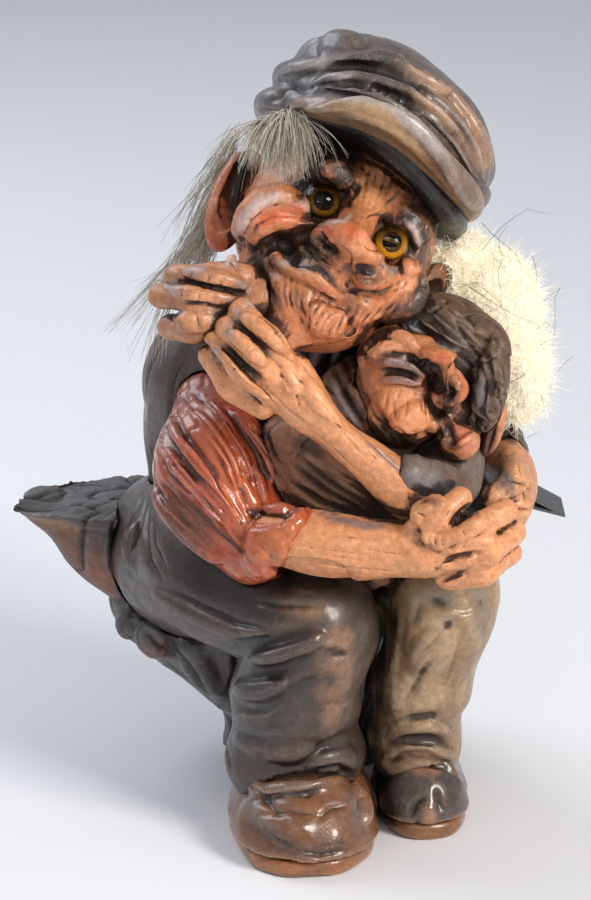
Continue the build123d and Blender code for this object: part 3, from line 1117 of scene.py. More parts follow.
@dataclass
class LowerBody:
    """Trousers and shoes."""

    grain: float = 0.73
    cloth: Rgb = (68, 55, 48)
    worn: Rgb = (94, 73, 58)
    leather: Rgb = (116, 77, 52)

    NEAR_LEG_ROLLS = (
        (4.5, -1.0, "245,660 275,655 305,645 325,632; 232,690 262,690 290,680"),
        (5, -1.5, "228,735 255,748 290,752 320,745; 305,770 325,758 345,757 360,768"),
        (4, -1.0, "140,520 128,545 135,572; 150,590 190,612 235,632 270,636"),
    )
    NEAR_LEG_TOOLING = (
        (3.4, -2.2, "234,648 270,642 300,634 312,626; 262,672 290,668 312,656; 225,706 250,714 268,712"),
        (2.4, -1.2, "328,652 338,655 348,654; 325,706 335,703 344,706; 312,748 332,742 346,734"),
        (1.6, -1.6, "300,784 318,772 338,768 356,778; 222,735 226,755 230,772"),
        (1.1, 0.9, "225,711 250,718 268,715 282,706; 318,645 335,644 350,650; 330,662 348,660"),
        (1.0, -0.9, "143,494 129,524 119,548; 147,500 138,530 130,556; 149,506 146,530 150,560 162,578"),
        (1.0, -0.9, "153,520 154,544 166,568; 175,590 200,606 235,622 265,628; 250,600 280,606 320,606"),
        (2.0, -1.0, "245,752 258,758 268,752; 240,725 262,728 285,722; 290,690 305,684 320,680"),
    )
    NEAR_LEG_PAINT = (
        # painted shadow on the thigh and lap under the sleeve
        (6, (46, 34, 28), 0.85, "160,545 200,575 250,590; 235,640 240,670; 245,600 300,600"),
        (6, (46, 34, 28), 0.85, "180,570 230,600 290,596"),
        # lighter paint down the right of the knee and its fold edges: painted highlight of the light from
        # the right
        (4, (140, 104, 78), 0.75, "335,620 345,645 345,680 330,710; 318,690 335,700 330,730"),
        (3, (146, 108, 80), 0.7, "325,640 350,640; 322,665 345,668; 270,600 300,610 330,612"),
        (4, (66, 62, 62), 0.7, "240,690 265,685 285,680; 228,715 250,725; 235,735 260,740 290,730"),
        (3, (108, 100, 98), 0.7, "132,540 140,570 160,590; 150,530 165,565"),
        # painted shadow on the lap under the arm, and painted shade down the shin
        (9, (34, 24, 19), 0.85, "178,556 205,580 250,596 300,596"),
        (8, (50, 44, 42), 0.75, "246,672 262,700 288,718; 270,668 300,698"),
    )
    FAR_LEG_ROLLS = (
        (3.6, -0.8, "386,738 410,726 432,724 452,738; 380,758 405,748 432,750 455,758"),
        (6, -4, "432,600 460,614 490,604"),
        (5, -2.5, "448,622 425,648 408,676"),
    )
    FAR_LEG_TOOLING = (
        (2.4, -1.6, "425,597 450,607 467,610 485,602; 455,618 432,645 414,664"),
        (2.4, -1.6, "390,732 412,720 432,717 450,732"),
        (2.0, -1.3, "382,752 407,740 432,742 452,750; 438,650 418,680 402,706"),
        (2.0, -1.3, "384,770 402,756 425,754 448,764"),
        (1.8, -0.9, "405,615 400,645 398,680; 465,625 455,660 445,690; 420,602 412,625"),
    )
    FAR_LEG_PAINT = (
        # painted shade on the inner side, between the legs
        (5, (70, 50, 38), 0.85, "378,620 382,680 384,740; 392,610 392,640"),
        # painted highlight on the knee and shin
        (4, (188, 158, 120), 0.7, "432,615 420,640; 450,640 432,668 415,695; 440,690 425,710"),
        (3, (128, 120, 104), 0.7, "470,590 485,600 480,640; 430,600 455,602"),
        # painted shade in the cuff's folds
        (3, (104, 72, 52), 0.8, "385,745 410,735 435,735 452,745; 388,760 420,752 445,760"),
    )
    NEAR_SHOE_TOOLING = (
        (1.3, -1.4, "257,800 285,795 308,794 328,785; 246,780 262,798 280,815; 300,850 320,855 345,850"),
        (1.0, -0.8, "262,815 290,812 320,815; 318,820 330,808 345,806; 312,846 322,850; 270,835 290,845"),
        (3.2, 1.4, "336,832; 290,825 305,830"),
    )
    NEAR_SHOE_PAINT = (
        (3, (112, 100, 96), 0.75, "235,770 245,800 262,825 285,842; 350,790 358,812 356,835"),
        (3, (112, 100, 96), 0.75, "258,792 290,790 320,785"),
        # painted shade along the welt's groove
        (2.5, (70, 50, 40), 0.8, "250,825 275,843 302,853 325,857 347,852; 325,845 345,845"),
    )
    FAR_SHOE_ROLLS = (
        (2.2, 0, "382,772 397,758 422,754 443,762 454,776"),
    )
    FAR_SHOE_TOOLING = (
        (1.1, -1.2, "384,776 400,764 422,760 442,768; 410,815 416,803 424,798; 417,822 418,836"),
        (1.1, -1.2, "436,790 441,810"),
        (2.4, 1.2, "428,806 430,820; 400,800"),
    )
    FAR_SHOE_PAINT = (
        # painted highlight on the instep and the toe
        (3, (168, 120, 92), 0.7, "412,768 428,765 440,772; 425,815 432,820"),
        # painted shade down the shoe's left side
        (3, (58, 50, 48), 0.7, "392,785 395,810 405,825; 415,800 412,825"),
    )
    NEAR_SHOE_ROLLS = (
        (3, 0, "240,772 262,790 290,790 318,786 342,778"),
        (2.5, 0.3, "350,782 360,800 360,825"),
    )

    def build(self, shop: Workshop) -> None:
        """Models and paints the legs and the shoes.

        Args:
            shop: keeps the pieces.
        """
        self.right_leg(shop)
        self.left_leg(shop)
        self.shoes(shop)

    def right_leg(self, shop: Workshop) -> None:
        """Models and paints the near leg.

        Args:
            shop: keeps the pieces.
        """
        leg = Clay("right_trouser", ("right_leg",), self.grain, 6, self.NEAR_LEG_ROLLS)
        c = shop.keep(leg, Paint.TROUSER)
        c.crumple(5, 13, 0.8)
        c.work(self.NEAR_LEG_TOOLING)
        c.coat(self.cloth)
        c.streak(33, 5, self.worn, 0.6, (1, -0.6, 0.2))
        c.paint(self.NEAR_LEG_PAINT)
        # pale grey drybrush with painted cool sheen on what faces up and to the left
        c.dry_brush_and_sheen((92, 87, 88), 0.4)

    def left_leg(self, shop: Workshop) -> None:
        """Models and paints the far leg.

        Args:
            shop: keeps the pieces.
        """
        c = shop.keep(Clay("left_trouser", ("left_leg",), self.grain, 6, self.FAR_LEG_ROLLS), Paint.TROUSER)
        c.crumple(6, 13, 0.7)
        c.work(self.FAR_LEG_TOOLING)
        # painted light: the far leg, the same trousers as the near one, is coated lighter and warmer, lit
        # from the right
        c.coat((146, 118, 88))
        c.streak(34, 5, (178, 150, 116), 0.7, (-0.5, 0, 1))
        c.paint(self.FAR_LEG_PAINT)

    def shoes(self, shop: Workshop) -> None:
        """Models and paints both shoes with their soles.

        Args:
            shop: keeps the pieces.
        """
        near = shop.keep(Clay("right_upper", ("right_shoe",), 0.6, 5, self.NEAR_SHOE_ROLLS), Paint.SHOE)
        near.swell(8, 26, 3.6)
        near.crumple(9, 9, 0.6)
        near.work(self.NEAR_SHOE_TOOLING)
        near.coat(self.leather)
        near.streak(35, 4, (140, 92, 58), 0.6, (1, -1, 0))
        near.paint(self.NEAR_SHOE_PAINT)
        far = shop.keep(Clay("left_upper", ("left_shoe",), 0.6, 5, self.FAR_SHOE_ROLLS), Paint.SHOE)
        far.swell(8, 24, 3.2)
        far.crumple(10, 8, 0.6)
        far.work(self.FAR_SHOE_TOOLING)
        far.coat((76, 65, 59))
        far.paint(self.FAR_SHOE_PAINT)
        for side, rim in (("right", (156, 98, 58)), ("left", (140, 92, 56))):
            sole = shop.keep(Clay(f"{side}_welt", (f"{side}_sole",), 0.6, 6), Paint.SOLE)
            sole.crumple(11, 9, 0.5)
            sole.coat(rim)
            sole.streak(36, 4, (110, 76, 52), 0.5, (1, 1, 0))


@dataclass
class UpperBody:
    """Jacket, sleeves, arms and hands."""

    skin: Rgb = (218, 148, 100)
    red: Rgb = (174, 74, 36)

    SLEEVE_ROLLS = (
        (2.4, 0.2, "166,410 177,436 202,468 226,502 242,525; 160,440 178,470 204,500 232,530"),
        (2.4, 0.2, "190,408 212,433 228,460 240,490; 205,400 224,422 240,450 252,480"),
        (2.4, 0.2, "230,410 249,433 264,458 274,485"),
        (4.5, -1, "152,478 160,502 183,528 213,556 228,560"),
        (4, -0.5, "262,562 272,545 290,528 308,508"),
        (5.8, -2.2, "252,516 284,513 308,503; 244,534 270,534 290,524; 240,553 260,553 276,543"),
        (5.8, -2.2, "246,570 258,568 270,564"),
        (3.6, -0.6, "322,494 312,506 298,520 286,536 279,552 276,568"),
    )
    SLEEVE_TOOLING = (
        (0.9, -1.2, "170,400 183,430 210,465 233,505 247,530; 163,423 172,443 195,473 220,500 237,520"),
        (0.9, -1.2, "158,430 167,457 190,483 212,508 240,538; 158,450 167,472 195,500 223,533"),
        (0.9, -1.2, "197,422 215,440 233,463 243,492 250,510; 212,405 230,423 247,450 257,477 263,503"),
        (0.9, -1.2, "223,405 240,428 257,453 267,477 272,500; 235,415 255,437 272,458 282,480"),
        (0.9, -1.2, "247,423 272,443 285,465 298,487; 182,395 200,415 222,445 236,475 246,500"),
        (0.9, -1.2, "188,388 205,402 228,430 245,462 256,492; 258,425 280,445 292,470 302,492"),
        (2.2, -2.2, "253,512 268,517 284,518; 167,487 192,512 220,538 245,556"),
        (0.8, -0.8, "156,485 166,505 186,525; 160,480 178,505 200,528; 172,505 192,530 212,550"),
    )
    CUFF_TOOLING = (
        (1.6, -1.2, "250,512 266,520 282,520"),
        (1.2, -0.8, "296,500 284,516"),
    )
    SLEEVE_PAINT = (
        (6, (150, 80, 66), 0.65, "165,410 165,440 180,470; 180,390 200,400; 160,455 190,490 215,520"),
        (5, (196, 96, 48), 0.75, "205,410 222,440 240,480 250,515; 225,470 235,500"),
        (3.5, (210, 130, 100), 0.7, "262,450 280,475 290,500; 245,430 262,448"),
        (5, (188, 102, 54), 0.9, "258,562 270,548 285,530 305,512; 268,560 280,540"),
        # painted shade in the hollow below the cuff's folds and on the lower folds that face down
        (3, (92, 44, 28), 0.8, "255,513 270,517 284,519; 150,480 170,515 200,545"),
        (5, (104, 54, 34), 0.85, "156,498 176,528 204,554; 165,492 190,524 214,550"),
        (3, (104, 100, 104), 0.6, "285,452 296,470 306,492 318,500"),
    )
    BIG_ARM_ROLLS = (
        (3.6, -0.4, "414,524 422,508 436,503 448,510"),
        (3.4, -0.2, "418,534 440,541 462,534 482,521 480,506"),
        (2.8, -0.2, "440,552 464,549 488,541 494,532; 434,566 458,561 478,558"),
        (2.6, -0.2, "430,582 450,580 466,573"),
    )
    BIG_ARM_TOOLING = (
        (0.9, -1.4, "448,549 464,544 484,534; 436,571 442,561 460,556 478,552; 440,581 456,576 470,570"),
        (1.8, -2.2, "454,522 462,516 470,508; 412,528 418,536"),
        (1.4, -1.2, "412,496 420,500 428,498"),
        (0.5, -0.5, "422,538 424,546; 428,537 430,547; 434,538 436,548; 441,538 443,547; 416,512 424,516"),
        (0.5, -0.35, "290,545 330,550 380,556; 300,560 350,568 400,572; 330,535 380,540; 310,552 360,560"),
        (0.5, -0.35, "360,548 410,556"),
        (0.5, -0.5, "474,512 480,518; 480,544 486,550; 470,560 474,566; 462,530 466,536; 450,510 446,518"),
    )
    BIG_ARM_PAINT = (
        # grey drybrush with painted sheen along the top of the forearm
        (2.6, (110, 104, 106), 0.75, "316,512 340,520 370,525 395,526; 320,506 335,514; 398,520 410,508"),
        (3, (196, 128, 84), 0.6, "290,560 330,572 390,582 430,588; 470,550 485,560"),
        # painted shade round the fist and in the recess above the thumb
        (2, (150, 98, 68), 0.6, "415,532 425,545 440,552; 455,524 468,520; 445,582 470,574"),
        (1.6, (90, 62, 46), 0.7, "418,503 432,500 445,505; 455,522 462,516 470,508"),
    )
    BIG_ARM_EDGE = "250,582 280,583 310,584 340,586"
    TRUE_BIG_ARM_EDGE = "252,562 280,567 310,574 340,581"
    SMALL_ARM_ROLLS = (
        (3.1, 0.2, "306,352 290,332 270,312 252,303; 288,352 268,334 252,322 240,314"),
        (2.8, 0.2, "266,366 250,350 238,338 227,330; 268,404 244,384 228,366 216,353"),
        (4.5, -2.5, "300,372 320,396 350,428; 284,362 290,380 300,396"),
    )
    SMALL_ARM_TOOLING = (
        (0.7, -0.7, "236,322 250,336 262,348 272,360; 256,311 272,325 284,340 294,352"),
        (1.2, -1.4, "224,347 236,358 248,369 262,380"),
        (0.5, -0.45, "262,314 255,322; 280,328 270,338; 244,332 238,340; 258,344 250,352; 236,366 230,374"),
        (0.5, -0.4, "290,364 300,380 312,392; 302,362 314,380; 280,372 292,392; 318,400 340,424"),
        (0.5, -0.4, "330,396 356,420"),
        (0.5, -0.4, "270,392 290,412 320,432; 340,430 370,462; 352,424 384,456 404,474"),
        (0.5, -0.4, "300,420 330,446 360,474"),
        (0.5, -0.4, "282,356 296,362; 250,394 262,404; 254,398 266,410; 296,392 300,410; 286,346 298,356"),
        (0.6, -0.5, "246,309 251,303; 232,331 237,325; 219,356 224,350"),
    )
    SMALL_ARM_PAINT = (
        # pale chalky paint with painted sheen on the knuckles
        (2.4, (164, 152, 142), 0.75, "242,304 256,302 276,312; 236,312 240,322; 226,326 230,336"),
        (2.4, (164, 152, 142), 0.75, "214,350 218,360; 284,320 300,340"),
        # painted shade along the lower edge of the forearm
        (2.4, (88, 52, 30), 0.9, "272,432 300,450 335,476 372,502; 286,444 318,468 350,492"),
        (2.4, (88, 52, 30), 0.9, "236,412 258,424"),
        (2.0, (150, 94, 58), 0.6, "310,436 330,452; 340,466 364,486; 240,396 262,412"),
        # painted highlight along the top of the forearm and on the hand
        (3.4, (232, 160, 110), 0.7, "306,392 332,416 362,446 390,474; 262,330 284,352; 246,350 256,360"),
        (3.4, (232, 160, 110), 0.7, "290,366 304,386"),
        # painted shade in the gaps between the fingers
        (1.8, (60, 34, 20), 0.85, "226,349 246,367 262,380"),
        (0.9, (84, 50, 30), 0.8, "238,324 262,348 272,360; 258,313 284,340"),
        # grey drybrush with painted sheen along the forearm's top edge
        (1.6, (104, 100, 102), 0.6, "356,430 378,452 404,474 418,486"),
    )
    SMALL_ARM_EDGES = (
        "318,378 330,390 362,404 386,428 410,442 431,459 445,476; 198,362 214,396 240,418 262,424"
    )
    TRUE_SMALL_ARM_EDGES = (
        "317,380 328,395 358,416 381,438 403,454 421,469 437,483; 204,360 218,390 243,411 264,421"
    )
    FAR_HAND_ROLLS = (
        (2.7, 0.1, "250,288 230,281 206,275 182,272; 236,300 212,297 188,293 166,291"),
        (4.4, -0.8, "220,318 200,320 176,322"),
        (3.4, 0.0, "206,262 220,258 234,264"),
    )
    FAR_HAND_TOOLING = (
        (0.9, -1.5, "181,282 200,285 232,291 248,297; 183,304 206,304 222,311; 238,300 228,314"),
        (0.6, -0.6, "192,271 190,280; 210,275 207,284; 222,280 219,289; 182,290 180,300; 200,294 197,303"),
        (0.7, -0.6, "178,268 183,277; 163,286 170,296; 170,314 176,328; 196,312 200,330; 230,262 240,272"),
    )
    FAR_HAND_PAINT = (
        # pale drybrush with painted sheen on the top finger and the knuckles
        (2.6, (168, 156, 154), 0.85, "205,262 222,257 236,263; 184,268 206,270; 168,286 178,288"),
        (2.2, (120, 112, 112), 0.7, "238,282 250,288; 226,302 236,306; 214,316 222,322"),
        # painted shade under and between the fingers
        (2.6, (150, 92, 60), 0.7, "176,332 196,336 214,332; 172,300 176,310; 205,272 215,270"),
        # painted highlight on the fingers
        (2.4, (220, 156, 112), 0.7, "200,280 225,286; 185,296 210,300; 182,316 205,318"),
    )
    LEFT_HAND_TOOLING = (
        (1.0, -1.4, "505,476 518,482 530,488; 502,505 516,508 532,510; 504,524 516,526 528,524"),
        (0.7, -0.7, "518,462 522,476; 524,492 526,504; 512,512 514,522; 514,532 520,536"),
    )
    LEFT_HAND_PAINT = (
        (3.4, (92, 82, 78), 0.8, "497,460 502,476 508,492; 500,470 512,486; 508,500 500,512"),
        # painted highlight on the fingers
        (3, (226, 164, 118), 0.7, "515,464 524,482; 520,500 526,516; 512,530 522,524"),
    )

    def build(self, shop: Workshop) -> None:
        """Models and paints the body and the arms.

        Args:
            shop: keeps the pieces.
        """
        for name, node in (("jacket", "torso"), ("left_jacket_sleeve", "left_sleeve")):
            c = shop.keep(Clay(name, (node,), 0.9, 5), Paint.DARK)
            c.crumple(11, 13, 1.0)
            c.furrow(12, 9, 1.7, (0.3, 0.1, 1))
            c.coat((84, 72, 66))
            c.streak(37, 5, (112, 98, 90), 0.5, (0.3, 0.1, 1))
            # pale grey drybrush with painted cool sheen on what faces up and to the left
            c.dry_brush_and_sheen((116, 110, 110), 0.6)
        self.red_sleeve(shop)
        self.right_arm(shop)
        self.near_arm(shop)
        self.far_hands(shop)

    def red_sleeve(self, shop: Workshop) -> None:
        """Models and paints the gathered red sleeve.

        Args:
            shop: keeps the pieces.
        """
        sleeve = Clay("red_sleeve", ("right_sleeve",), 0.55, 5, self.SLEEVE_ROLLS, ("right_arm",))
        c = shop.keep(sleeve, Paint.RED)
        c.work(self.SLEEVE_TOOLING)
        c.furrow(14, 4.5, 0.5, (0.75, -0.35, -0.8))
        c.work(self.CUFF_TOOLING)
        c.coat(self.red)
        c.streak(38, 3, (196, 104, 64), 0.6, (0.75, -0.35, -0.8))
        c.paint(self.SLEEVE_PAINT)
        # pale pink drybrush with painted cool sheen on what faces up and to the left
        c.dry_brush_and_sheen((184, 142, 138), 0.3)

    def right_arm(self, shop: Workshop) -> None:
        """Models and paints the big troll's bare forearm and hand.

        Args:
            shop: keeps the pieces.
        """
        c = shop.keep(Clay("big_right_arm", ("right_arm",), 0.5, 7, self.BIG_ARM_ROLLS), Paint.SKIN)
        c.grab(13, self.BIG_ARM_EDGE, self.TRUE_BIG_ARM_EDGE)
        c.crumple(13, 7, 0.4, (1, 0, 0))
        c.work(self.BIG_ARM_TOOLING)
        c.crumple(64, 1.6, 0.13)
        c.coat(self.skin)
        c.streak(39, 3, (228, 166, 118), 0.5, (1, 0, 0))
        c.paint(self.BIG_ARM_PAINT)

    def near_arm(self, shop: Workshop) -> None:
        """Models and paints the small troll's forearm and the hand on the shoulder.

        Args:
            shop: keeps the pieces.
        """
        c = shop.keep(Clay("small_near_arm", ("near_arm",), 0.5, 7, self.SMALL_ARM_ROLLS), Paint.SKIN)
        c.grab(17, self.SMALL_ARM_EDGES, self.TRUE_SMALL_ARM_EDGES)
        c.crumple(15, 6, 0.4, (1, 0, -0.8))
        c.work(self.SMALL_ARM_TOOLING)
        c.crumple(62, 1.6, 0.13)
        c.coat(self.skin)
        c.streak(40, 3, (230, 164, 116), 0.5, (1, 0, -0.8))
        c.paint(self.SMALL_ARM_PAINT)

    def far_hands(self, shop: Workshop) -> None:
        """Models and paints the two hands that come round from behind.

        Args:
            shop: keeps the pieces.
        """
        far = shop.keep(Clay("small_far_hand", ("far_hand",), 0.5, 7, self.FAR_HAND_ROLLS), Paint.SKIN)
        far.work(self.FAR_HAND_TOOLING)
        far.crumple(63, 1.6, 0.13)
        far.coat((186, 124, 86))
        far.paint(self.FAR_HAND_PAINT)
        left = shop.keep(Clay("big_left_hand", ("left_hand",), 0.55), Paint.SKIN)
        left.crumple(17, 5, 0.5)
        left.work(self.LEFT_HAND_TOOLING)
        left.coat((206, 142, 98))
        left.paint(self.LEFT_HAND_PAINT)


@dataclass
class BigHead:
    """The old troll's head with its two ears."""

    grain: float = 0.53
    skin: Rgb = (196, 120, 76)
    shade: Rgb = (46, 28, 18)
    # pale chalky paint that also stands for painted highlight
    chalk_sheen: Rgb = (204, 184, 178)
    black: Rgb = (30, 18, 12)
    brown: Rgb = (100, 58, 34)

    FACE_LINES = "302,238 304,252; 318,262 338,264; 382,226 381,240"
    TRUE_FACE_LINES = "312,234 314,246; 322,254 342,258; 375,226 374,240"
    NOSE = (
        (6.5, -2.4, "352,226 360,242 366,256"),
        (5.0, -1.4, "320,231 334,231 348,236 358,248"),
        (4.6, -0.8, "362,240 372,254 380,267"),
        (8.0, -6.2, "396,122 384,165 370,204 360,226"),
    )
    CHEEKS = (
        (5.2, -0.6, "236,242 247,217 262,202 280,197 297,204 308,222"),
        (3.2, -0.4, "248,250 257,233 274,221 292,222 304,232"),
        (4.4, -1.0, "398,268 410,268 412,278"),
    )
    LIPS = (
        (4.6, -3.4, "298,250 318,256 336,268 350,281"),
        (3.8, -1.7, "279,267 298,271 316,277 330,289 340,303"),
        (6.0, -4.6, "352,280 376,285 398,280"),
        (6.0, -4.6, "356,304 384,302 404,292"),
    )
    CHIN = (
        (5.0, -1.6, "312,300 318,318 328,336; 338,306 336,322 334,338; 362,308 352,322 346,336"),
    )
    BROWS = (
        (3.6, -0.2, "320,172 334,168 344,178 346,190"),
        (8.0, -6.6, "378,200 396,190 416,188 432,198 440,212"),
    )
    LIDS = (
        (1.4, 0.2, "405,221 415,231 418,242 413,258"),
        (1.3, 0.0, "306,210 316,219 330,218"),
    )
    CREASES = (
        (1.0, -1.4, "284,262 304,266 322,271 333,283 344,293"),
        (0.8, -0.9, "344,293 352,290 364,291 378,293 392,288 404,280"),
        (2.6, -3.0, "266,244 278,242 290,247 298,256; 288,244 286,254 296,262"),
        (1.6, -2.6, "313,236 324,243 338,256"),
        (1.6, -1.7, "354,268 364,270 374,273"),
        (1.3, -1.2, "352,198 358,178 364,160; 388,262 400,262; 296,200 302,190 310,182; 346,196 350,210"),
        (1.8, -1.4, "255,262 262,280 275,300; 420,262 424,284 412,304"),
    )
    WRINKLES = (
        (0.7, -0.6, "285,276 283,294 290,316; 291,279 289,300 297,322; 296,284 295,304 303,328"),
        (0.7, -0.6, "302,288 300,308 309,332; 314,294 305,312 310,328; 323,300 309,317 306,330"),
        (0.7, -0.6, "331,302 317,320 312,336; 338,307 323,326 319,340; 343,312 331,330 327,344"),
        (0.7, -0.6, "349,308 340,326 334,344; 357,308 348,326 343,342; 366,310 356,326 350,338"),
        (0.7, -0.6, "375,308 364,322 358,334; 385,305 374,318 366,330; 395,302 386,314 376,326"),
        (0.7, -0.6, "403,298 396,310 388,320"),
        (0.45, -0.45, "288,290 292,312; 299,296 305,320; 310,302 308,318; 318,305 311,322"),
        (0.45, -0.45, "327,308 316,326; 336,316 325,334; 345,318 336,336; 353,316 344,332"),
        (0.45, -0.45, "371,314 361,326; 381,311 371,322; 390,308 381,318; 320,296 312,304"),
        (0.6, -0.45, "364,160 359,184 352,200; 372,158 366,186 360,208; 380,160 373,188 366,210"),
        (0.6, -0.45, "388,164 381,190 374,208; 396,172 387,192 380,204; 406,178 394,196 384,206"),
        (0.6, -0.45, "416,182 402,198; 426,188 410,200; 434,198 420,206"),
        (0.6, -0.5, "258,256 264,240 278,232 294,236; 262,262 268,248 280,241 296,246"),
        (0.6, -0.5, "268,268 273,256 284,250; 246,244 256,226 272,216 290,216"),
        (0.6, -0.5, "240,240 252,220 266,208 282,204 298,210"),
        (0.5, -0.4, "300,254 316,260 332,270; 304,260 318,265 332,276; 356,277 376,280 392,275"),
        (0.5, -0.4, "384,296 400,289 410,279"),
        (0.5, -0.45, "432,232 426,250 420,266; 438,236 432,256 424,274; 442,248 436,268 426,288"),
        (0.5, -0.45, "428,214 424,232"),
    )
    DARKS = (
        # painted shadow of the cap over the brow and the temple
        (6, shade, 0.95, "300,150 330,146 352,158 350,182; 306,172 312,160 330,154"),
        (6, shade, 0.95, "395,150 420,168 440,196"),
        # painted shade on the far temple and jaw
        (5, shade, 0.9, "404,212 420,210 432,222; 420,226 424,244 418,258; 436,226 440,250"),
        (5, shade, 0.9, "440,270 430,296 416,308"),
        # painted shade in the eye sockets
        (3.4, shade, 0.95, "306,186 304,204 312,218 330,222; 340,188 344,204 336,216"),
        (3.4, shade, 0.95, "376,226 390,220 408,224 414,240 408,258"),
        # painted shade in the cheek hollow, the nostrils and the line of the mouth
        (3.2, black, 0.95, "270,246 284,244 294,250; 288,258 300,260; 314,237 326,245 338,257"),
        (3.2, black, 0.95, "354,268 366,270 376,273"),
        (1.6, black, 0.9, "284,262 304,266 322,271 334,284 344,293; 352,289 366,291 380,293 394,288"),
        # brown painted shade in the cheek hollows
        (3.6, brown, 0.75, "252,248 262,264 272,284; 302,242 316,250; 300,252 322,262; 266,256 278,266"),
        (3.6, brown, 0.75, "296,234 306,236"),
        (2.6, brown, 0.6, "340,308 352,314 366,308; 320,300 312,308; 346,296 356,300; 296,290 300,310"),
        (2.6, brown, 0.6, "380,312 396,304"),
        # painted shadow of the cap on the brow, and painted shade in the cheek fold and round the eyes
        (5, black, 0.95, "310,142 334,142 352,150; 318,156 332,150 348,160; 350,166 352,182 348,198"),
        (5, black, 0.95, "306,178 304,198"),
        (3, black, 0.9, "262,250 280,246 300,252; 300,240 314,246 326,256; 398,216 412,222 420,234"),
        (3, black, 0.9, "380,226 392,218"),
        (3, black, 0.95, "312,166 318,176 312,186; 322,180 332,184 340,184; 326,158 340,160"),
        (3, black, 0.95, "352,152 366,146; 396,140 420,156 444,186"),
        # painted shade on the far side of the jaw
        (4, (58, 42, 36), 0.85, "426,260 432,284 422,308; 436,248 440,276; 418,314 404,326"),
        (4, (58, 42, 36), 0.85, "428,300 414,320"),
        (1.4, (70, 40, 26), 0.75, "384,279 372,281 358,279; 346,263 350,274"),
        # painted shade deep in the cheek hollow
        (4, black, 0.95, "258,247 276,243 296,249; 282,255 300,259 316,263; 302,246 318,256"),
    )
    LIGHTS = (
        # pale chalky paint with painted highlight on the cheek's roll, the lip and the rim of the eye
        (2.6, chalk_sheen, 0.85, "234,240 246,216 260,202 276,196 286,196; 304,206 309,220"),
        (1.6, chalk_sheen, 0.8, "278,262 294,265 310,269 320,273; 316,225 332,221 346,221 352,212"),
        (1.6, chalk_sheen, 0.8, "405,221 416,233 417,246 412,258"),
        # painted highlight on the brow ridge and the bridge of the nose, lit from the right
        (3.0, (180, 110, 66), 0.85, "380,198 394,188 410,183 426,188; 384,206 398,199 412,198"),
        (3.0, (180, 110, 66), 0.85, "398,152 392,172 384,192"),
        (4.2, (204, 132, 82), 0.85, "384,146 380,168 374,190 366,210; 372,158 366,184 360,204"),
        (2.6, (206, 142, 96), 0.8, "390,158 384,180 376,204 366,216; 374,160 366,190; 400,172 390,192"),
        # painted highlight on the nose
        (3.2, (226, 146, 100), 0.85, "362,236 370,250 380,264; 350,244 362,258; 404,268 412,274 402,288"),
        (2.6, (214, 96, 52), 0.8, "348,226 354,234; 256,224 272,216 292,217; 300,208 304,220"),
        (2.6, (214, 96, 52), 0.8, "322,230 334,234"),
        (2.4, (208, 126, 82), 0.8, "306,276 322,284 336,298; 312,310 322,328; 336,318 332,338"),
        (2.4, (208, 126, 82), 0.8, "360,316 350,332; 380,300 400,292"),
    )
    GREYS = (
        (2.6, (78, 72, 75), 0.9, "328,168 337,168 343,178 343,188"),
        (2.2, (148, 144, 150), 0.8, "384,266 392,271 400,268"),
        (3, (88, 82, 80), 0.8, "262,280 270,290 280,306; 414,300 424,312; 430,246 424,268"),
    )
    LATE_TOUCHES = (
        # painted shadow of the cap on the brow and the temple
        (3, (40, 25, 17), 0.85, "353,148 351,168 348,192; 402,148 412,160 426,176"),
        (3, (40, 25, 17), 0.85, "404,204 416,206 428,214; 436,196 444,214"),
        # painted shade on the far jaw
        (4, (54, 40, 34), 0.85, "420,270 424,288 416,304; 410,302 400,314 388,325; 432,262 434,288"),
        # painted highlight on the bridge of the nose
        (3.4, (222, 152, 102), 0.85, "379,164 375,184 369,206; 386,168 380,192; 373,166 370,180"),
        (0.9, (168, 128, 94), 0.7, "412,184 396,198 384,207; 424,190 408,203; 432,200 418,206"),
        (0.9, (168, 128, 94), 0.7, "390,170 380,196"),
    )
    EAR_TOOLING = (
        (2.6, -2.4, "246,142 240,168 234,196 234,222"),
        (1.6, 1.0, "240,138 231,168 216,194 214,212 224,236"),
    )
    EAR_PAINT = (
        # painted shade in the ear's groove
        (3.8, (34, 20, 14), 0.95, "248,140 243,168 237,198 236,224 240,238; 252,160 248,200"),
        (3.8, (34, 20, 14), 0.95, "244,150 240,180"),
        # painted highlight on the ear's rim
        (2, (210, 146, 116), 0.7, "217,192 213,208 218,226; 236,150 230,168"),
    )
    FAR_EAR_PAINT = (
        (2, (44, 28, 20), 0.9, "440,206 440,220 432,236"),
    )

    def build(self, shop: Workshop) -> None:
        """Models and paints the head.

        Args:
            shop: keeps the pieces.
        """
        rolls = self.NOSE + self.CHEEKS + self.LIPS + self.CHIN + self.BROWS + self.LIDS
        c = shop.keep(Clay("old_face", ("big_head",), self.grain, 16, rolls), Paint.SKIN)
        c.grab(9, self.FACE_LINES, self.TRUE_FACE_LINES)
        c.work(self.CREASES)
        c.work(self.WRINKLES)
        c.crumple(61, 1.6, 0.16)
        c.coat(self.skin)
        c.streak(41, 2.5, (214, 140, 94), 0.5, (0.6, 0, -0.8))
        c.paint(self.DARKS + self.LIGHTS + self.GREYS + self.LATE_TOUCHES)
        self.ears(shop)

    def ears(self, shop: Workshop) -> None:
        """Models and paints the ears.

        Args:
            shop: keeps the pieces.
        """
        near = shop.keep(Clay("old_right_ear", ("big_right_ear",), 0.5, 4), Paint.SKIN)
        near.work(self.EAR_TOOLING)
        near.coat((190, 100, 62))
        near.paint(self.EAR_PAINT)
        far = shop.keep(Clay("old_left_ear", ("big_left_ear",), 0.5), Paint.SKIN)
        far.coat((132, 82, 54))
        far.paint(self.FAR_EAR_PAINT)


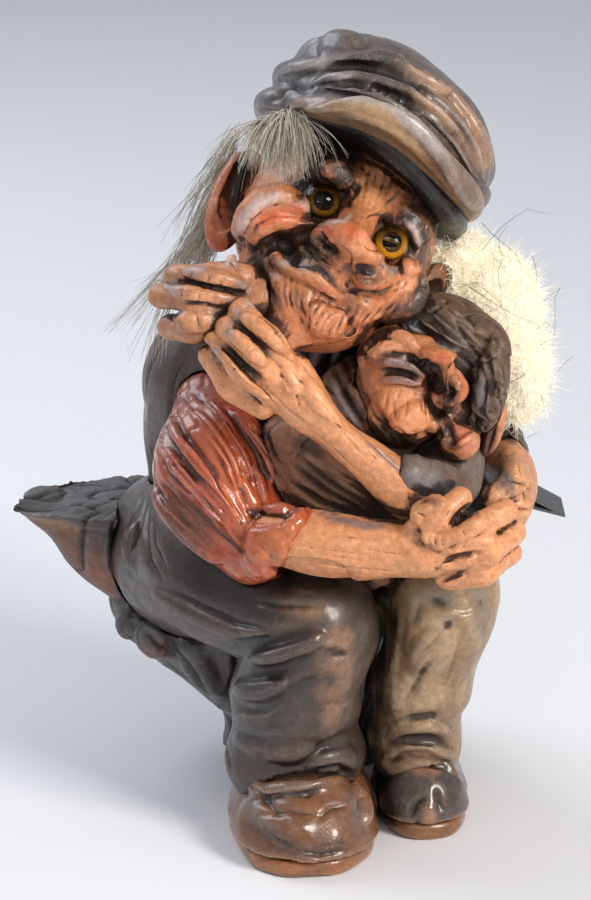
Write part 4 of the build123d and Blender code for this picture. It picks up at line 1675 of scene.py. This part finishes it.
@dataclass
class FlatCap:
    """The crumpled cap with its visor."""

    grain: float = 0.6
    cloth: Rgb = (92, 80, 74)

    FOLD_CRESTS = (
        "275,77 293,68 322,63 352,57 382,58 402,65 427,80 450,93 468,117 485,148 493,168; "
        "308,90 328,79 352,77 380,82 410,92 435,107 457,127 472,152 483,177"
    )
    EDGES = (
        "300,110 321,117 360,136 399,161 430,183 458,206 471,220; "
        "280,100 321,104 360,117 399,142 438,171 466,198 475,212"
    )
    TRUE_EDGES = (
        "304,113 321,117 360,126 399,149 430,178 459,208 474,221; "
        "291,104 323,98 362,98 403,116 443,151 472,185 482,203"
    )
    BROW_LINE = "250,140 290,106 308,112 347,116 386,132 418,158 445,189 470,214 484,208 500,192"
    FOLD_HOLLOWS = (
        "285,83 310,73 328,67 360,67 393,74 418,87 443,103 460,123 474,152 482,170; "
        "322,89 352,84 377,90 402,100 423,115 448,140 465,168 474,186"
    )

    CROWN_ROLLS = (
        (3.0, 0.0, FOLD_CRESTS),
        (9, -4.5, "316,54 332,46 352,44 368,48"),
        (2.6, 0.0, "304,96 330,91 365,94 398,106 430,124 452,147 470,176"),
    )
    CROWN_TOOLING = (
        (1.6, -1.7, FOLD_HOLLOWS),
        (1.4, -1.4, "266,100 276,88 290,84 300,93; 400,52 412,60 424,70"),
        (0.9, -0.7, "300,54 312,42 324,36; 350,64 380,66 405,76; 430,92 448,106; 455,112 470,138"),
    )
    CROWN_PAINT = (
        # warm brown over the right of the crown: partly the cap's own colour, partly painted warm light from
        # the right
        (7, (160, 120, 90), 0.8, "440,88 466,118 486,155; 452,110 470,140 484,170; 430,95 455,125 470,155"),
        # painted shade in the hollows of the folds
        (3.2, (44, 32, 26), 0.85, FOLD_HOLLOWS),
        # pale grey drybrush with painted cool sheen on the folds at the top left
        (2.4, (168, 160, 160), 0.7, "280,74 300,66 322,62 350,57; 330,78 352,76; 300,54 318,34 335,28"),
        # painted warm highlight on the crests at the right
        (2.4, (186, 146, 114), 0.7, "405,66 428,80 450,94; 412,92 436,107 456,126; 478,150 490,168"),
        (1.5, (222, 192, 146), 1.0, "373,35 382,37"),
    )
    VISOR_ROLLS = (
        (2.0, 0.4, "300,108 330,112 360,120 390,136 418,154 440,174 458,198 470,214"),
    )
    VISOR_PAINT = (
        # painted highlight along the visor's upper edge
        (2.2, (172, 166, 166), 0.85, "298,103 323,97 346,96 378,104 402,117 424,134 446,158 464,182"),
        # painted warm highlight on the rim's crest
        (2.4, (186, 146, 100), 0.85, "312,108 345,110 380,124 410,146 436,174 458,200"),
        (2.4, (186, 146, 100), 0.85, "350,104 380,112 404,128"),
        # painted shade along the visor's lower edge
        (1.8, (84, 62, 44), 0.7, "316,112 348,116 384,131 414,154 440,182 462,207"),
        (4.2, (98, 68, 48), 0.8, "428,152 444,170 458,190 472,212"),
    )

    def build(self, shop: Workshop) -> None:
        """Models and paints the cap.

        Args:
            shop: keeps the pieces.
        """
        crown = shop.keep(Clay("cap_cloth", ("cap_crown",), self.grain, 8, self.CROWN_ROLLS), Paint.CAP)
        crown.crumple(19, 14, 1.0)
        crown.work(self.CROWN_TOOLING)
        crown.grab(12, self.EDGES, self.TRUE_EDGES)
        under = crown.sink(self.BROW_LINE, 14)
        crown.coat(self.cloth)
        crown.streak(42, 3, (68, 60, 57), 0.6, (1, 0, -0.7))
        crown.paint(self.CROWN_PAINT)
        # pale grey drybrush with painted cool sheen on the left of the crown
        crown.dry_brush_and_sheen((128, 128, 138), 0.6, (-0.85, 0, 0.5))
        # painted shadow: what lies below the brow line, sunk under the visor, is painted near black
        crown.tint += (linear((30, 22, 18)) - crown.tint) * (0.95 * under)[:, None]
        visor = shop.keep(Clay("cap_peak", ("cap_visor",), 0.55, 4, self.VISOR_ROLLS), Paint.CAP)
        visor.grab(12, self.EDGES, self.TRUE_EDGES)
        visor.coat((140, 112, 84))
        visor.streak(43, 3, (92, 76, 66), 0.6, (1, 0, -0.7))
        visor.paint(self.VISOR_PAINT)


@dataclass
class SmallTroll:
    """The small troll that leans in."""

    skin: Rgb = (192, 122, 80)

    FACE_ROLLS = (
        (3.0, -0.4, "362,372 364,350 376,338 392,332 408,340 420,352"),
        (2.2, 0.0, "372,366 390,360 410,365 428,379"),
        (1.8, 0.1, "380,380 400,379 424,384"),
        (3.2, 0.0, "414,353 440,357 456,363 464,374"),
        (2.0, 0.4, "464,374 468,386 467,396 460,407"),
        (8.0, -4.0, "402,404 410,418 412,436"),
        (4.6, -1.2, "460,436 466,446"),
        (2.8, -0.6, "454,414 462,424"),
    )
    FACE_TOOLING = (
        (1.0, -1.7, "384,370 404,373 420,379; 376,357 392,353 410,357 426,366"),
        (1.5, -2.2, "376,408 386,430 408,448 432,458"),
        (1.0, -1.8, "437,394 440,430 435,452"),
        (2.2, -3.0, "446,390 452,396 456,402"),
        (1.5, -2.2, "447,420 450,434 454,446"),
        (2.4, -2.2, "420,360 432,368 440,378; 434,380 440,390"),
        (0.8, -0.9, "366,398 374,418 390,440 414,464; 356,372 362,392 370,404; 443,404 444,432"),
        (0.5, -0.4, "370,344 382,339 396,338; 388,392 384,410; 392,400 396,420; 420,398 424,412"),
        (0.5, -0.4, "400,390 396,402"),
        (0.5, -0.4, "408,400 404,420; 416,430 410,444; 426,404 428,424; 398,428 412,442; 366,360 372,350"),
    )
    FACE_PAINT = (
        # painted shadow on the left and under side of the hooked nose
        (3.4, (44, 26, 16), 0.92, "420,358 432,366 440,380; 432,384 440,398; 446,390 454,398"),
        (3.4, (44, 26, 16), 0.92, "447,420 452,440 456,448"),
        (3, (40, 24, 16), 0.92, "430,368 440,378 446,392 450,404; 424,362 436,368; 452,386 455,400"),
        # painted shade in the creases by the mouth and the chin and above the eye
        (2.4, (56, 34, 22), 0.9, "376,408 386,430 408,448 432,458; 438,394 441,430 436,452"),
        (2.4, (56, 34, 22), 0.9, "378,358 394,354 412,358"),
        # painted shade towards the edges of the face
        (3.0, (88, 54, 36), 0.8, "358,370 360,392 370,408; 378,432 396,452 420,466; 350,372 356,396"),
        (3.0, (88, 54, 36), 0.8, "440,406 442,440"),
        (1.3, (40, 24, 18), 0.9, "385,370 404,373 419,379"),
        # painted highlight on the brow
        (3.2, (206, 140, 104), 0.9, "368,346 384,336 398,335 412,344; 376,350 392,342 408,346"),
        (3.2, (206, 140, 104), 0.9, "366,360 372,350"),
        (2.0, (108, 98, 104), 0.85, "374,364 390,360 408,364 424,376; 382,380 404,379 422,384"),
        (4.4, (218, 150, 98), 0.75, "404,404 412,420 408,438; 394,392 400,404; 416,440 428,452"),
        (2.2, (190, 96, 80), 0.7, "420,386 430,392 435,404"),
        (2.2, (140, 86, 52), 0.7, "424,408 420,424; 428,416 430,432"),
        # painted light along the top of the nose, then a painted highlight on it
        (2.6, (206, 108, 62), 0.85, "424,354 442,357 456,364 464,374; 466,384 462,402"),
        (1.2, (244, 196, 160), 0.8, "458,366 461,374"),
        (2.8, (204, 120, 96), 0.85, "460,428 468,440 468,452; 454,412 460,420"),
        (1.8, (130, 104, 100), 0.7, "450,412 458,418"),
        # painted highlight on the brow
        (3.6, (238, 168, 122), 0.9, "370,343 384,340 400,341"),
        (5, (228, 150, 102), 0.75, "402,400 412,420 416,438; 396,398 404,424; 424,410 426,430"),
    )
    EAR_TOOLING = (
        (1.6, -1.6, "494,424 490,445 486,460"),
    )
    EAR_PAINT = (
        # painted shade in the ear's groove
        (2.4, (48, 28, 18), 0.9, "494,424 489,444 484,462"),
    )
    NOSE_EDGE = "478,368 480,390 470,408"
    TRUE_NOSE_EDGE = "467,369 468,389 460,406"
    HOOD_ROLLS = (
        (2.6, 0.2, "392,312 412,330 436,346 460,352; 402,306 425,324 450,340 472,350"),
        (2.6, 0.2, "412,300 438,318 462,336 484,352; 426,298 452,318 476,340; 474,362 480,385 478,418"),
        (2.6, 0.2, "483,356 489,385 486,415; 492,358 498,385 494,408"),
    )
    HOOD_TOOLING = (
        (1.1, -1.4, "397,309 418,327 443,343 466,351; 407,303 432,321 456,338 478,351"),
        (1.1, -1.4, "419,299 445,318 469,338 488,356"),
        (1.1, -1.4, "478,360 485,385 482,417; 487,356 494,385 490,412; 498,366 501,388 497,404"),
    )
    HOOD_PAINT = (
        (3.2, (112, 112, 118), 0.8, "394,318 416,334 438,346 456,352; 404,312 420,324"),
        (3.6, (50, 36, 28), 0.85, "415,308 440,326 462,342; 474,362 478,390 476,420; 468,352 474,372"),
        (3.2, (106, 82, 62), 0.8, "440,298 462,322 487,344 502,370 503,398 492,424; 455,318 480,340"),
        (2, (124, 118, 116), 0.7, "481,366 485,390 482,414; 390,318 400,326"),
    )
    BODICE_TOOLING = (
        (1.1, -1.3, "298,455 335,485 377,510; 297,467 327,492 363,513; 302,446 340,474 385,500"),
        (1.1, -1.3, "292,482 325,504 350,515"),
        (1.2, -1.4, "334,366 341,389 353,409 370,430; 346,360 353,380 367,399 384,425"),
        (1.2, -1.4, "322,400 345,425 372,450"),
        (1.2, 1.0, "323,505 353,519 387,525; 330,372 338,396 352,418; 308,450 345,480"),
    )
    BODICE_PAINT = (
        # painted shade in the folds
        (3.6, (58, 34, 22), 0.85, "300,460 335,490 370,510; 335,370 345,395 362,420; 300,440 320,460"),
        # grey drybrush with painted sheen on the crests
        (2.2, (116, 108, 108), 0.75, "318,500 345,514 375,522 395,524; 332,378 345,404 362,424"),
        (2.2, (116, 108, 108), 0.75, "372,420 400,452 420,470"),
        # painted highlight on the crests
        (1.6, (182, 138, 104), 0.7, "306,456 325,472; 330,490 350,503; 340,478 365,496"),
    )
    CUFF_ROLLS = (
        (7, -4.5, "404,462 424,474 446,488; 420,468 440,474 456,486"),
        (5, -2.5, "434,462 448,474 456,490"),
    )
    CUFF_PAINT = (
        (3, (122, 118, 120), 0.8, "410,476 430,490 450,496; 432,478 456,486; 440,500 452,508"),
        (3, (92, 64, 48), 0.8, "440,470 470,484; 424,496 438,506"),
    )

    def build(self, shop: Workshop) -> None:
        """Models and paints the small troll.

        Args:
            shop: keeps the pieces.
        """
        self.face(shop)
        self.hood(shop)
        self.dress(shop)

    def face(self, shop: Workshop) -> None:
        """Models and paints the face and the ear.

        Args:
            shop: keeps the pieces.
        """
        c = shop.keep(Clay("small_face", ("small_head",), 0.45, 9, self.FACE_ROLLS), Paint.SKIN)
        c.grab(14, self.NOSE_EDGE, self.TRUE_NOSE_EDGE)
        c.work(self.FACE_TOOLING)
        c.crumple(65, 1.5, 0.13)
        c.coat(self.skin)
        c.streak(44, 2.5, (214, 146, 98), 0.5, (0.3, 0, -1))
        c.paint(self.FACE_PAINT)
        ear = shop.keep(Clay("small_troll_ear", ("small_ear",), 0.5), Paint.SKIN)
        ear.work(self.EAR_TOOLING)
        ear.coat((204, 126, 82))
        ear.paint(self.EAR_PAINT)

    def hood(self, shop: Workshop) -> None:
        """Models and paints the swept hair round the face.

        Args:
            shop: keeps the pieces.
        """
        c = shop.keep(Clay("small_hood", ("small_hair",), 0.6, 5, self.HOOD_ROLLS), Paint.DRESS)
        c.crumple(23, 6, 0.5, (0.8, 0, -0.6))
        c.work(self.HOOD_TOOLING)
        c.furrow(24, 3.0, 0.8, (0.7, 0.1, -0.7))
        c.coat((92, 68, 51))
        c.streak(45, 2.5, (112, 84, 62), 0.6, (0.7, 0, -0.7))
        c.paint(self.HOOD_PAINT)

    def dress(self, shop: Workshop) -> None:
        """Models and paints the bodice, the cuff and the skirt.

        Args:
            shop: keeps the pieces.
        """
        bodice = shop.keep(Clay("bodice", ("small_torso",), 0.65, 4), Paint.DRESS)
        bodice.crumple(25, 8, 0.6, (1, 0, -0.7))
        bodice.furrow(26, 5, 0.9, (1, 0, -0.7))
        bodice.work(self.BODICE_TOOLING)
        bodice.coat((142, 95, 66))
        bodice.streak(46, 2.5, (156, 108, 78), 0.6, (1, 0, -0.7))
        bodice.paint(self.BODICE_PAINT)
        cuff = Clay("small_cuff", ("small_sleeve",), 0.6, 6, self.CUFF_ROLLS, ("near_arm",))
        shop.keep(cuff, Paint.DRESS)
        cuff.crumple(27, 7, 0.7)
        cuff.coat((116, 98, 88))
        cuff.paint(self.CUFF_PAINT)
        skirt = shop.keep(Clay("skirt", ("small_skirt",), 0.65, 5), Paint.DRESS)
        skirt.crumple(29, 9, 0.8)
        skirt.furrow(30, 7, 0.9, (0.2, -0.2, 1))
        skirt.coat((122, 116, 96))
        skirt.streak(47, 3, (146, 136, 104), 0.6, (0.2, 0, 1))
        # pale grey drybrush with painted cool sheen on what faces up and to the left
        skirt.dry_brush_and_sheen((132, 134, 130), 0.5)


@dataclass
class Wool:
    """The body of the cream wool, under its curls."""

    cream: Rgb = (250, 240, 214)
    depth: float = 1.2

    def build(self, shop: Workshop) -> None:
        """Makes the soft mass that the curls stand on.

        Args:
            shop: keeps the pieces.
        """
        c = shop.keep(Clay("wool_body", ("wool",), 1.2, 6), Paint.WOOL)
        c.co -= c.no * self.depth * MM
        c.crumple(51, 7, 1.0)
        c.coat(self.cream)


@dataclass
class GlassEyes:
    """Amber glass eyes: a clear dome, an iris and a pupil on each side."""

    # amber is the iris in light, shaded the same amber darkened as painted shade
    amber: Rgb = (206, 142, 22)
    shaded: Rgb = (120, 84, 18)
    rim: Rgb = (40, 24, 6)

    def build(self) -> None:
        """Gives the six eye pieces their finishes."""
        clear = Blank("eye_glass")
        n = clear.nodes
        glass = clear.finish(
            {
                "Roughness": n.ramp(n.noise(clear.where, 900), 0.3, 0.7, 0.01, 0.04),
                "Base Color": (0.98, 0.96, 0.92, 1),
                "Transmission Weight": 1.0,
                "IOR": 1.28,
                "Specular IOR Level": 0.2,
            }
        )
        dark = Blank("pupil_black")
        n = dark.nodes
        soot = n.mix(n.noise(dark.where, 700), (0.002, 0.002, 0.002, 1), (0.006, 0.005, 0.004, 1))
        black = dark.finish({"Base Color": soot, "Roughness": 0.4, "Specular IOR Level": 0.0})
        # the right iris takes the shaded amber; the left takes the bright amber with a weak emission,
        # painted light
        for side, glow in (("right", 0.0), ("left", 0.3)):
            self.dress(f"{side}_eye_glass", glass, "eye_glass")
            self.dress(f"{side}_eye_pupil", black, "pupil_black")
            self.dress(f"{side}_eye_iris", self.iris(side, glow), "iris_amber")

    @staticmethod
    def dress(node: str, material: bpy.types.Material, slot: str) -> None:
        """Gives a CAD node its finish.

        Args:
            node: the CAD node's name.
            material: its finish.
            slot: the record's material slot; not used.
        """
        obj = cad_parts[node]
        obj.data.materials.clear()
        obj.data.materials.append(material)
        log.info("%s: dressed", node)

    def iris(self, side: str, glow: float) -> bpy.types.Material:
        """Returns an iris that is bright in its ring, dark at its rim and darker towards the top, painted
        shade from the eyelid above.

        Args:
            side: right or left.
            glow: strength of its emission, painted light in the amber; without it the iris takes the shaded
                amber.

        Returns:
            The material.
        """
        low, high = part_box(f"{side}_eye_iris")
        centre = tuple((low[i] + high[i]) / 2 for i in range(3))
        mat = Blank(f"{side}_iris")
        n, where = mat.nodes, mat.where
        out = n.add("ShaderNodeVectorMath", {0: where, 1: centre}, operation="DISTANCE").outputs["Value"]
        fleck = n.math("MULTIPLY", n.math("SUBTRACT", n.noise(where, 1500), 0.5), 1.2 * MM)
        ring = n.ramp(n.math("ADD", out, fleck), 4.0 * MM, 5.2 * MM)
        rise = n.add("ShaderNodeSeparateXYZ", {0: where}).outputs["Z"]
        # painted shade: the iris darkens towards its top, below the eyelid
        lid_shade = n.ramp(n.math("SUBTRACT", rise, centre[2]), -2.5 * MM, 4.0 * MM)
        bright, rim = (*linear(self.amber if glow else self.shaded), 1), (*linear(self.rim), 1)
        colour = n.mix(n.math("MAXIMUM", ring, lid_shade), bright, rim)
        return mat.finish(
            {
                "Base Color": colour,
                "Emission Color": colour,
                "Emission Strength": glow,
                "Roughness": 0.35,
                "Specular IOR Level": 0.0,
            }
        )


@dataclass
class LooseHair:
    """Real hair: the forelock, the side hair and the curls on the wool."""

    seed: int = 17
    stations: int = 7
    forelock_hairs: int = 760
    side_hairs: int = 520
    far_hairs: int = 90
    wool_hairs: int = 5400
    side_depth: float = -6
    stray_depth: float = -4.0

    FORELOCK_ROOT = (289, 119)
    FORELOCK_DEPTHS = (-31, -55)
    SIDE_TOP = (238, 126)
    SIDE_DROP = (-22, 112)
    FAR_ROOT = (212, 218)
    FAR_LEAN = (166, 276)
    FAR_ENDS = ((109, 330), (132, 324), (138, 292), (141, 364), (151, 360), (163, 354))

    STRAY_HAIRS = (
        "482,250 500,228 530,207 545,215 555,214; 482,222 495,238 515,252 522,268 520,298; "
        "502,255 498,240 508,225; 532,255 537,272 537,295; 465,285 505,310 540,326; "
        "460,288 475,282 495,297 507,312 510,350; 560,288 555,298 555,318 552,352 545,358; "
        "545,300 560,288; 572,356 562,366 552,380; 515,442 528,437 540,431; 470,320 495,310; "
        "510,382 525,375 532,362; 542,395 545,410 537,416; 480,330 500,322 508,314; "
        "500,290 498,270 506,252; 536,330 546,322 556,330; 540,345 550,340; 512,395 522,404 534,402; "
        "505,428 518,424"
    )

    def build(self) -> None:
        """Plants all the tufts."""
        self.rng = np.random.default_rng(self.seed)
        # the wool fibres carry a weak emission, painted light that lifts the shade between them
        grey, cream = self.fibre("grey_hair", 0.6, 0.0), self.fibre("wool_fibre", 0.9, 0.32)
        shades = ((236, 230, 216), (128, 116, 84))
        self.plant("forelock_hair", self.forelock(), 0.15, shades, grey, "grey_hair", "forelock")
        shades = ((238, 233, 218), (150, 140, 112))
        self.plant("long_side_hair", self.side_hair(), 0.13, shades, grey, "grey_hair", "side_hair")
        shades = ((255, 250, 232), (250, 238, 208))
        self.plant("wool_curls", self.curls(), 0.13, shades, cream, "cream_wool")
        shades = ((92, 84, 80), (60, 54, 50))
        self.plant("stray_hairs", self.strays(), 0.11, shades, grey, "grey_hair")

    @staticmethod
    def fibre(name: str, rough: float, glow: float) -> bpy.types.Material:
        """Returns a soft hair finish that takes its colour from the strands.

        Args:
            name: the finish's name.
            rough: how dull it is.
            glow: strength of its emission, painted light that lifts the shade between the fibres.

        Returns:
            The material.
        """
        mat = Blank(name)
        n = mat.nodes
        tint = mat.attribute("tint", "Color")
        shade = n.ramp(n.noise(mat.where, 600), 0.3, 0.7, 0.8, 1.1)
        grey = n.add("ShaderNodeCombineColor", {0: shade, 1: shade, 2: shade}).outputs[0]
        colour = n.mix(1.0, tint, grey, "MULTIPLY")
        return mat.finish(
            {"Base Color": colour, "Emission Color": colour, "Emission Strength": glow, "Roughness": rough}
        )

    def plant(
        self,
        name: str,
        lines: np.ndarray,
        radius: float,
        colours: tuple[Rgb, Rgb],
        material: bpy.types.Material,
        slot: str,
        *nodes: str,
    ) -> None:
        """Turns lines into one piece of thin tapered strands.

        Args:
            name: the piece's name.
            lines: strands by stations by 3.
            radius: of a strand at its root, in millimetres.
            colours: the two shades that strands lie between.
            material: the strands' finish.
            slot: the record's material slot.
            nodes: the CAD nodes that it stands for.
        """
        count, stations = lines.shape[:2]
        t = np.linspace(0, 1, stations)
        thick = radius * MM * self.rng.uniform(0.7, 1.25, (count, 1)) * (1 - 0.75 * t**1.5)
        points, faces = tubes(lines, thick, 3)
        obj = bpy.data.objects.new(name, mesh_of(name, points, faces))
        bpy.context.scene.collection.objects.link(obj)
        a, b = linear(colours[0]), linear(colours[1])
        mixed = a + (b - a) * self.rng.random((count, 1, 1)) ** 1.5
        tint = np.repeat(np.broadcast_to(mixed, (count, stations, 3)).reshape(-1, 3), 3, axis=0)
        layer = obj.data.attributes.new("tint", "FLOAT_COLOR", "POINT")
        layer.data.foreach_set("color", np.c_[tint, np.ones(len(tint))].astype(np.float32).ravel())
        settle(obj, material, slot, *nodes)

    def curved(self, a: np.ndarray, b: np.ndarray, c: np.ndarray) -> np.ndarray:
        """Returns smooth lines from roots a to tips c that lean towards b, count by stations by 2 or 3."""
        t = np.linspace(0, 1, self.stations)[None, :, None]
        return (1 - t) ** 2 * a[:, None] + 2 * t * (1 - t) * b[:, None] + t**2 * c[:, None]

    def raised(self, lines: np.ndarray, root: np.ndarray, tip: np.ndarray) -> np.ndarray:
        """Returns lines of pixels set in space, between two layout depths for each strand.

        Args:
            lines: strands by stations by 2.
            root: depth of each root, in millimetres.
            tip: depth of each tip.

        Returns:
            Strands by stations by 3, in metres.
        """
        t = np.linspace(0, 1, self.stations)
        depth = root[:, None] + (tip - root)[:, None] * t
        return self.on_plane(lines.reshape(-1, 2), depth.ravel()).reshape(*lines.shape[:2], 3)

    @staticmethod
    def on_plane(pixels: np.ndarray, y: np.ndarray) -> np.ndarray:
        """Returns where rays through pixels cross upright planes at layout depth y, in millimetres.

        Args:
            pixels: one row for each ray.
            y: the depth for each ray.

        Returns:
            The points, in metres.
        """
        rays = CAMERA.rays(pixels)
        far = (y * MM + CAMERA.target[1] - CAMERA.place[1]) / rays[:, 1]
        return CAMERA.place + rays * far[:, None]

    def forelock(self) -> np.ndarray:
        """Returns the tuft that springs up from under the cap and falls over the brow.

        Returns:
            Strands by stations by 3, in metres.
        """
        rng, n = self.rng, self.forelock_hairs
        root = np.array(self.FORELOCK_ROOT) + rng.normal(0, (5, 3), (n, 2))
        spread = rng.normal(-0.45, 0.75, n)
        over = root + np.stack((spread * 20, -rng.uniform(6, 22, n) * np.exp(-(spread**2) * 0.6)), 1)
        fall = rng.uniform(44, 80, n) * np.exp(-np.abs(spread + 0.1) * 0.28)
        tip = over + np.stack((spread * 8 + rng.normal(0, 7, n), fall), 1)
        tip[:14] += rng.normal((2, 14), (14, 12), (14, 2))
        depth = rng.uniform(-2.5, 2.5, n)
        high, low = self.FORELOCK_DEPTHS
        return self.raised(self.curved(root, over, tip), high + depth, low + depth * 2.4)

    def side_hair(self) -> np.ndarray:
        """Returns the thin long hair that hangs behind the ear and past the hand.

        Returns:
            Strands by stations by 3, in metres.
        """
        rng, n = self.rng, self.side_hairs
        s = rng.random(n) ** 0.8
        x = self.SIDE_TOP[0] + self.SIDE_DROP[0] * s + rng.normal(0, 3, n)
        y = self.SIDE_TOP[1] + self.SIDE_DROP[1] * s + rng.normal(0, 5, n)
        root = np.stack((x, y), 1)
        angle = np.radians(rng.normal(117, 8, n))
        reach = rng.uniform(35, 105, n) * (1.15 - 0.35 * s)
        way = np.stack((np.cos(angle), np.sin(angle)), 1)
        tip = root + way * reach[:, None]
        over = root + way * reach[:, None] * 0.5 + rng.normal((-9, -3), 4, (n, 2)) * (1 - s)[:, None]
        ends, far = np.array(self.FAR_ENDS, float), self.far_hairs
        tip[:far] = ends[rng.integers(0, len(ends), far)] + rng.normal(0, 6, (far, 2))
        root[:far] = np.array(self.FAR_ROOT) + rng.normal(0, (6, 16), (far, 2))
        over[:far] = np.array(self.FAR_LEAN) + rng.normal(0, 5, (far, 2))
        depth = rng.uniform(-5, 5, n)
        start, end = self.side_depth + depth, self.side_depth + depth * 1.4
        return self.raised(self.curved(root, over, tip), start, end)

    def curls(self) -> np.ndarray:
        """Returns the short crimped fibres that stand out from the wool.

        Returns:
            Strands by stations by 3, in metres.
        """
        rng, n = self.rng, self.wool_hairs
        src = bpy.data.objects["wool_body"].data
        pick = rng.integers(0, len(src.vertices), n)
        base = np.array([src.vertices[i].co for i in pick])
        normal = np.array([src.vertices[i].normal for i in pick])
        t = np.linspace(0, 1, self.stations)[None, :, None]
        lean = rng.normal(0, 1.0, (n, 1, 3)) + (0.2, 0, -0.1)
        length = rng.uniform(1.2, 3.4, (n, 1, 1)) * MM
        phase = rng.uniform(0, 2 * math.pi, (n, 1, 1))
        wave = np.sin(t * 8 + phase) * rng.normal(0, 0.35, (n, 1, 3)) * MM
        return base[:, None] + (normal[:, None] * 0.55 + lean * t) * t * length + wave * t

    def strays(self) -> np.ndarray:
        """Returns the single dark hairs that curl round the wool.

        Returns:
            Strands by stations by 3, in metres.
        """
        seen = paths(self.STRAY_HAIRS)
        wool = BVHTree.FromObject(bpy.data.objects["wool_body"], bpy.context.evaluated_depsgraph_get())
        lines = []
        for path in seen:
            p = resampled(path, 1.0)
            pick = np.linspace(0, len(p) - 1, self.stations).astype(int)
            p = p[pick] + self.rng.normal(0, 0.4, (self.stations, 2))
            hits = [wool.ray_cast(CAMERA.place, ray)[0] for ray in CAMERA.rays(p)]
            met = [i for i, hit in enumerate(hits) if hit]
            front = [(hits[i][1] - CAMERA.target[1]) / MM - 2.5 for i in met]
            depth = np.full(self.stations, self.stray_depth)
            if met:
                depth = np.interp(np.arange(self.stations), met, front)
            lines.append(self.on_plane(p, depth))
        return np.array(lines)


@dataclass
class CardTag:
    """The blank folded card tucked behind the arm."""

    grey: Rgb = (74, 76, 80)
    fleck: Rgb = (96, 98, 102)

    def build(self) -> None:
        """Gives the card its finish."""
        mat = Blank("card")
        fleck = mat.nodes.noise(mat.where, 1200, 4)
        dark, pale = (*linear(self.grey), 1), (*linear(self.fleck), 1)
        card = mat.finish({"Base Color": mat.nodes.mix(fleck, dark, pale), "Roughness": 0.55})
        GlassEyes.dress("card_tag", card, "card")


@dataclass
class Stage:
    """Pale floor and backdrop, and the studio's soft lights."""

    reach: float = 3.0
    bend: float = 0.5
    height: float = 4.0
    floor: Rgb = (241, 242, 247)

    def sweep(self) -> None:
        """Lays a floor that curves up into a backdrop."""
        back, bend = self.reach * 0.6, self.bend
        angles = np.linspace(0, math.pi / 2, 24)
        turn = [(back + bend * math.sin(a), bend - bend * math.cos(a)) for a in angles]
        side = [(-self.reach, 0.0)] + turn + [(turn[-1][0], self.height)]
        points = np.array([(x, y, z) for y, z in side for x in (-self.reach, self.reach)])
        k = np.arange(len(side) - 1) * 2
        faces = np.stack((k, k + 1, k + 3, k + 2), axis=1)
        obj = bpy.data.objects.new("sweep", mesh_of("sweep", points, faces))
        bpy.context.scene.collection.objects.link(obj)
        mat = Blank("paper")
        pale = (*linear(self.floor), 1)
        dim = (*(linear(self.floor) * 0.94), 1)
        cloud = mat.nodes.mix(mat.nodes.noise(mat.where, 3.0, 2), dim, pale)
        obj.data.materials.append(mat.finish({"Base Color": cloud, "Roughness": 0.9}))
        only(obj)
        bpy.ops.object.shade_smooth()

    @staticmethod
    def lamp(name: str, at: Way, size: float, power: float, colour: Way) -> None:
        """Hangs one square soft light that looks at the group.

        Args:
            name: the light's name.
            at: where it hangs, in metres.
            size: length of its side.
            power: in watts.
            colour: of its light.
        """
        data = bpy.data.lights.new(name, "AREA")
        data.shape = "SQUARE"
        data.size = size
        data.energy = power
        data.color = colour
        obj = bpy.data.objects.new(name, data)
        obj.location = at
        obj.rotation_euler = (Vector((0, 0, 0.12)) - Vector(at)).to_track_quat("-Z", "Y").to_euler()
        bpy.context.scene.collection.objects.link(obj)

    def light(self) -> None:
        """Lights the group as the photograph is lit."""
        self.lamp("cool_bank", (-0.8, 0.5, 1.0), 0.9, 9, (0.86, 0.92, 1.0))
        self.lamp("warm_key", (0.8, -0.75, 0.8), 0.4, 13, (1.0, 0.95, 0.88))
        self.lamp("front_fill", (-0.3, -1.3, 0.9), 1.2, 2.5, (1.0, 0.98, 0.96))
        world = bpy.data.worlds.new("studio")
        world.use_nodes = True
        back = world.node_tree.nodes["Background"]
        back.inputs["Color"].default_value = (0.95, 0.97, 1.0, 1)
        back.inputs["Strength"].default_value = 0.38
        bpy.context.scene.world = world


def main() -> None:
    """Builds the group in order."""
    logging.basicConfig(level=logging.INFO, format="%(message)s")
    shop = Workshop()
    StumpSeat().build(shop)
    LowerBody().build(shop)
    UpperBody().build(shop)
    BigHead().build(shop)
    FlatCap().build(shop)
    SmallTroll().build(shop)
    Wool().build(shop)
    shop.fire()
    GlassEyes().build()
    LooseHair().build()
    CardTag().build()
    stage = Stage()
    stage.sweep()
    stage.light()
    CAMERA.mount()
    bpy.context.scene.view_settings.view_transform = "Standard"


if __name__ == "__main__":
    main()
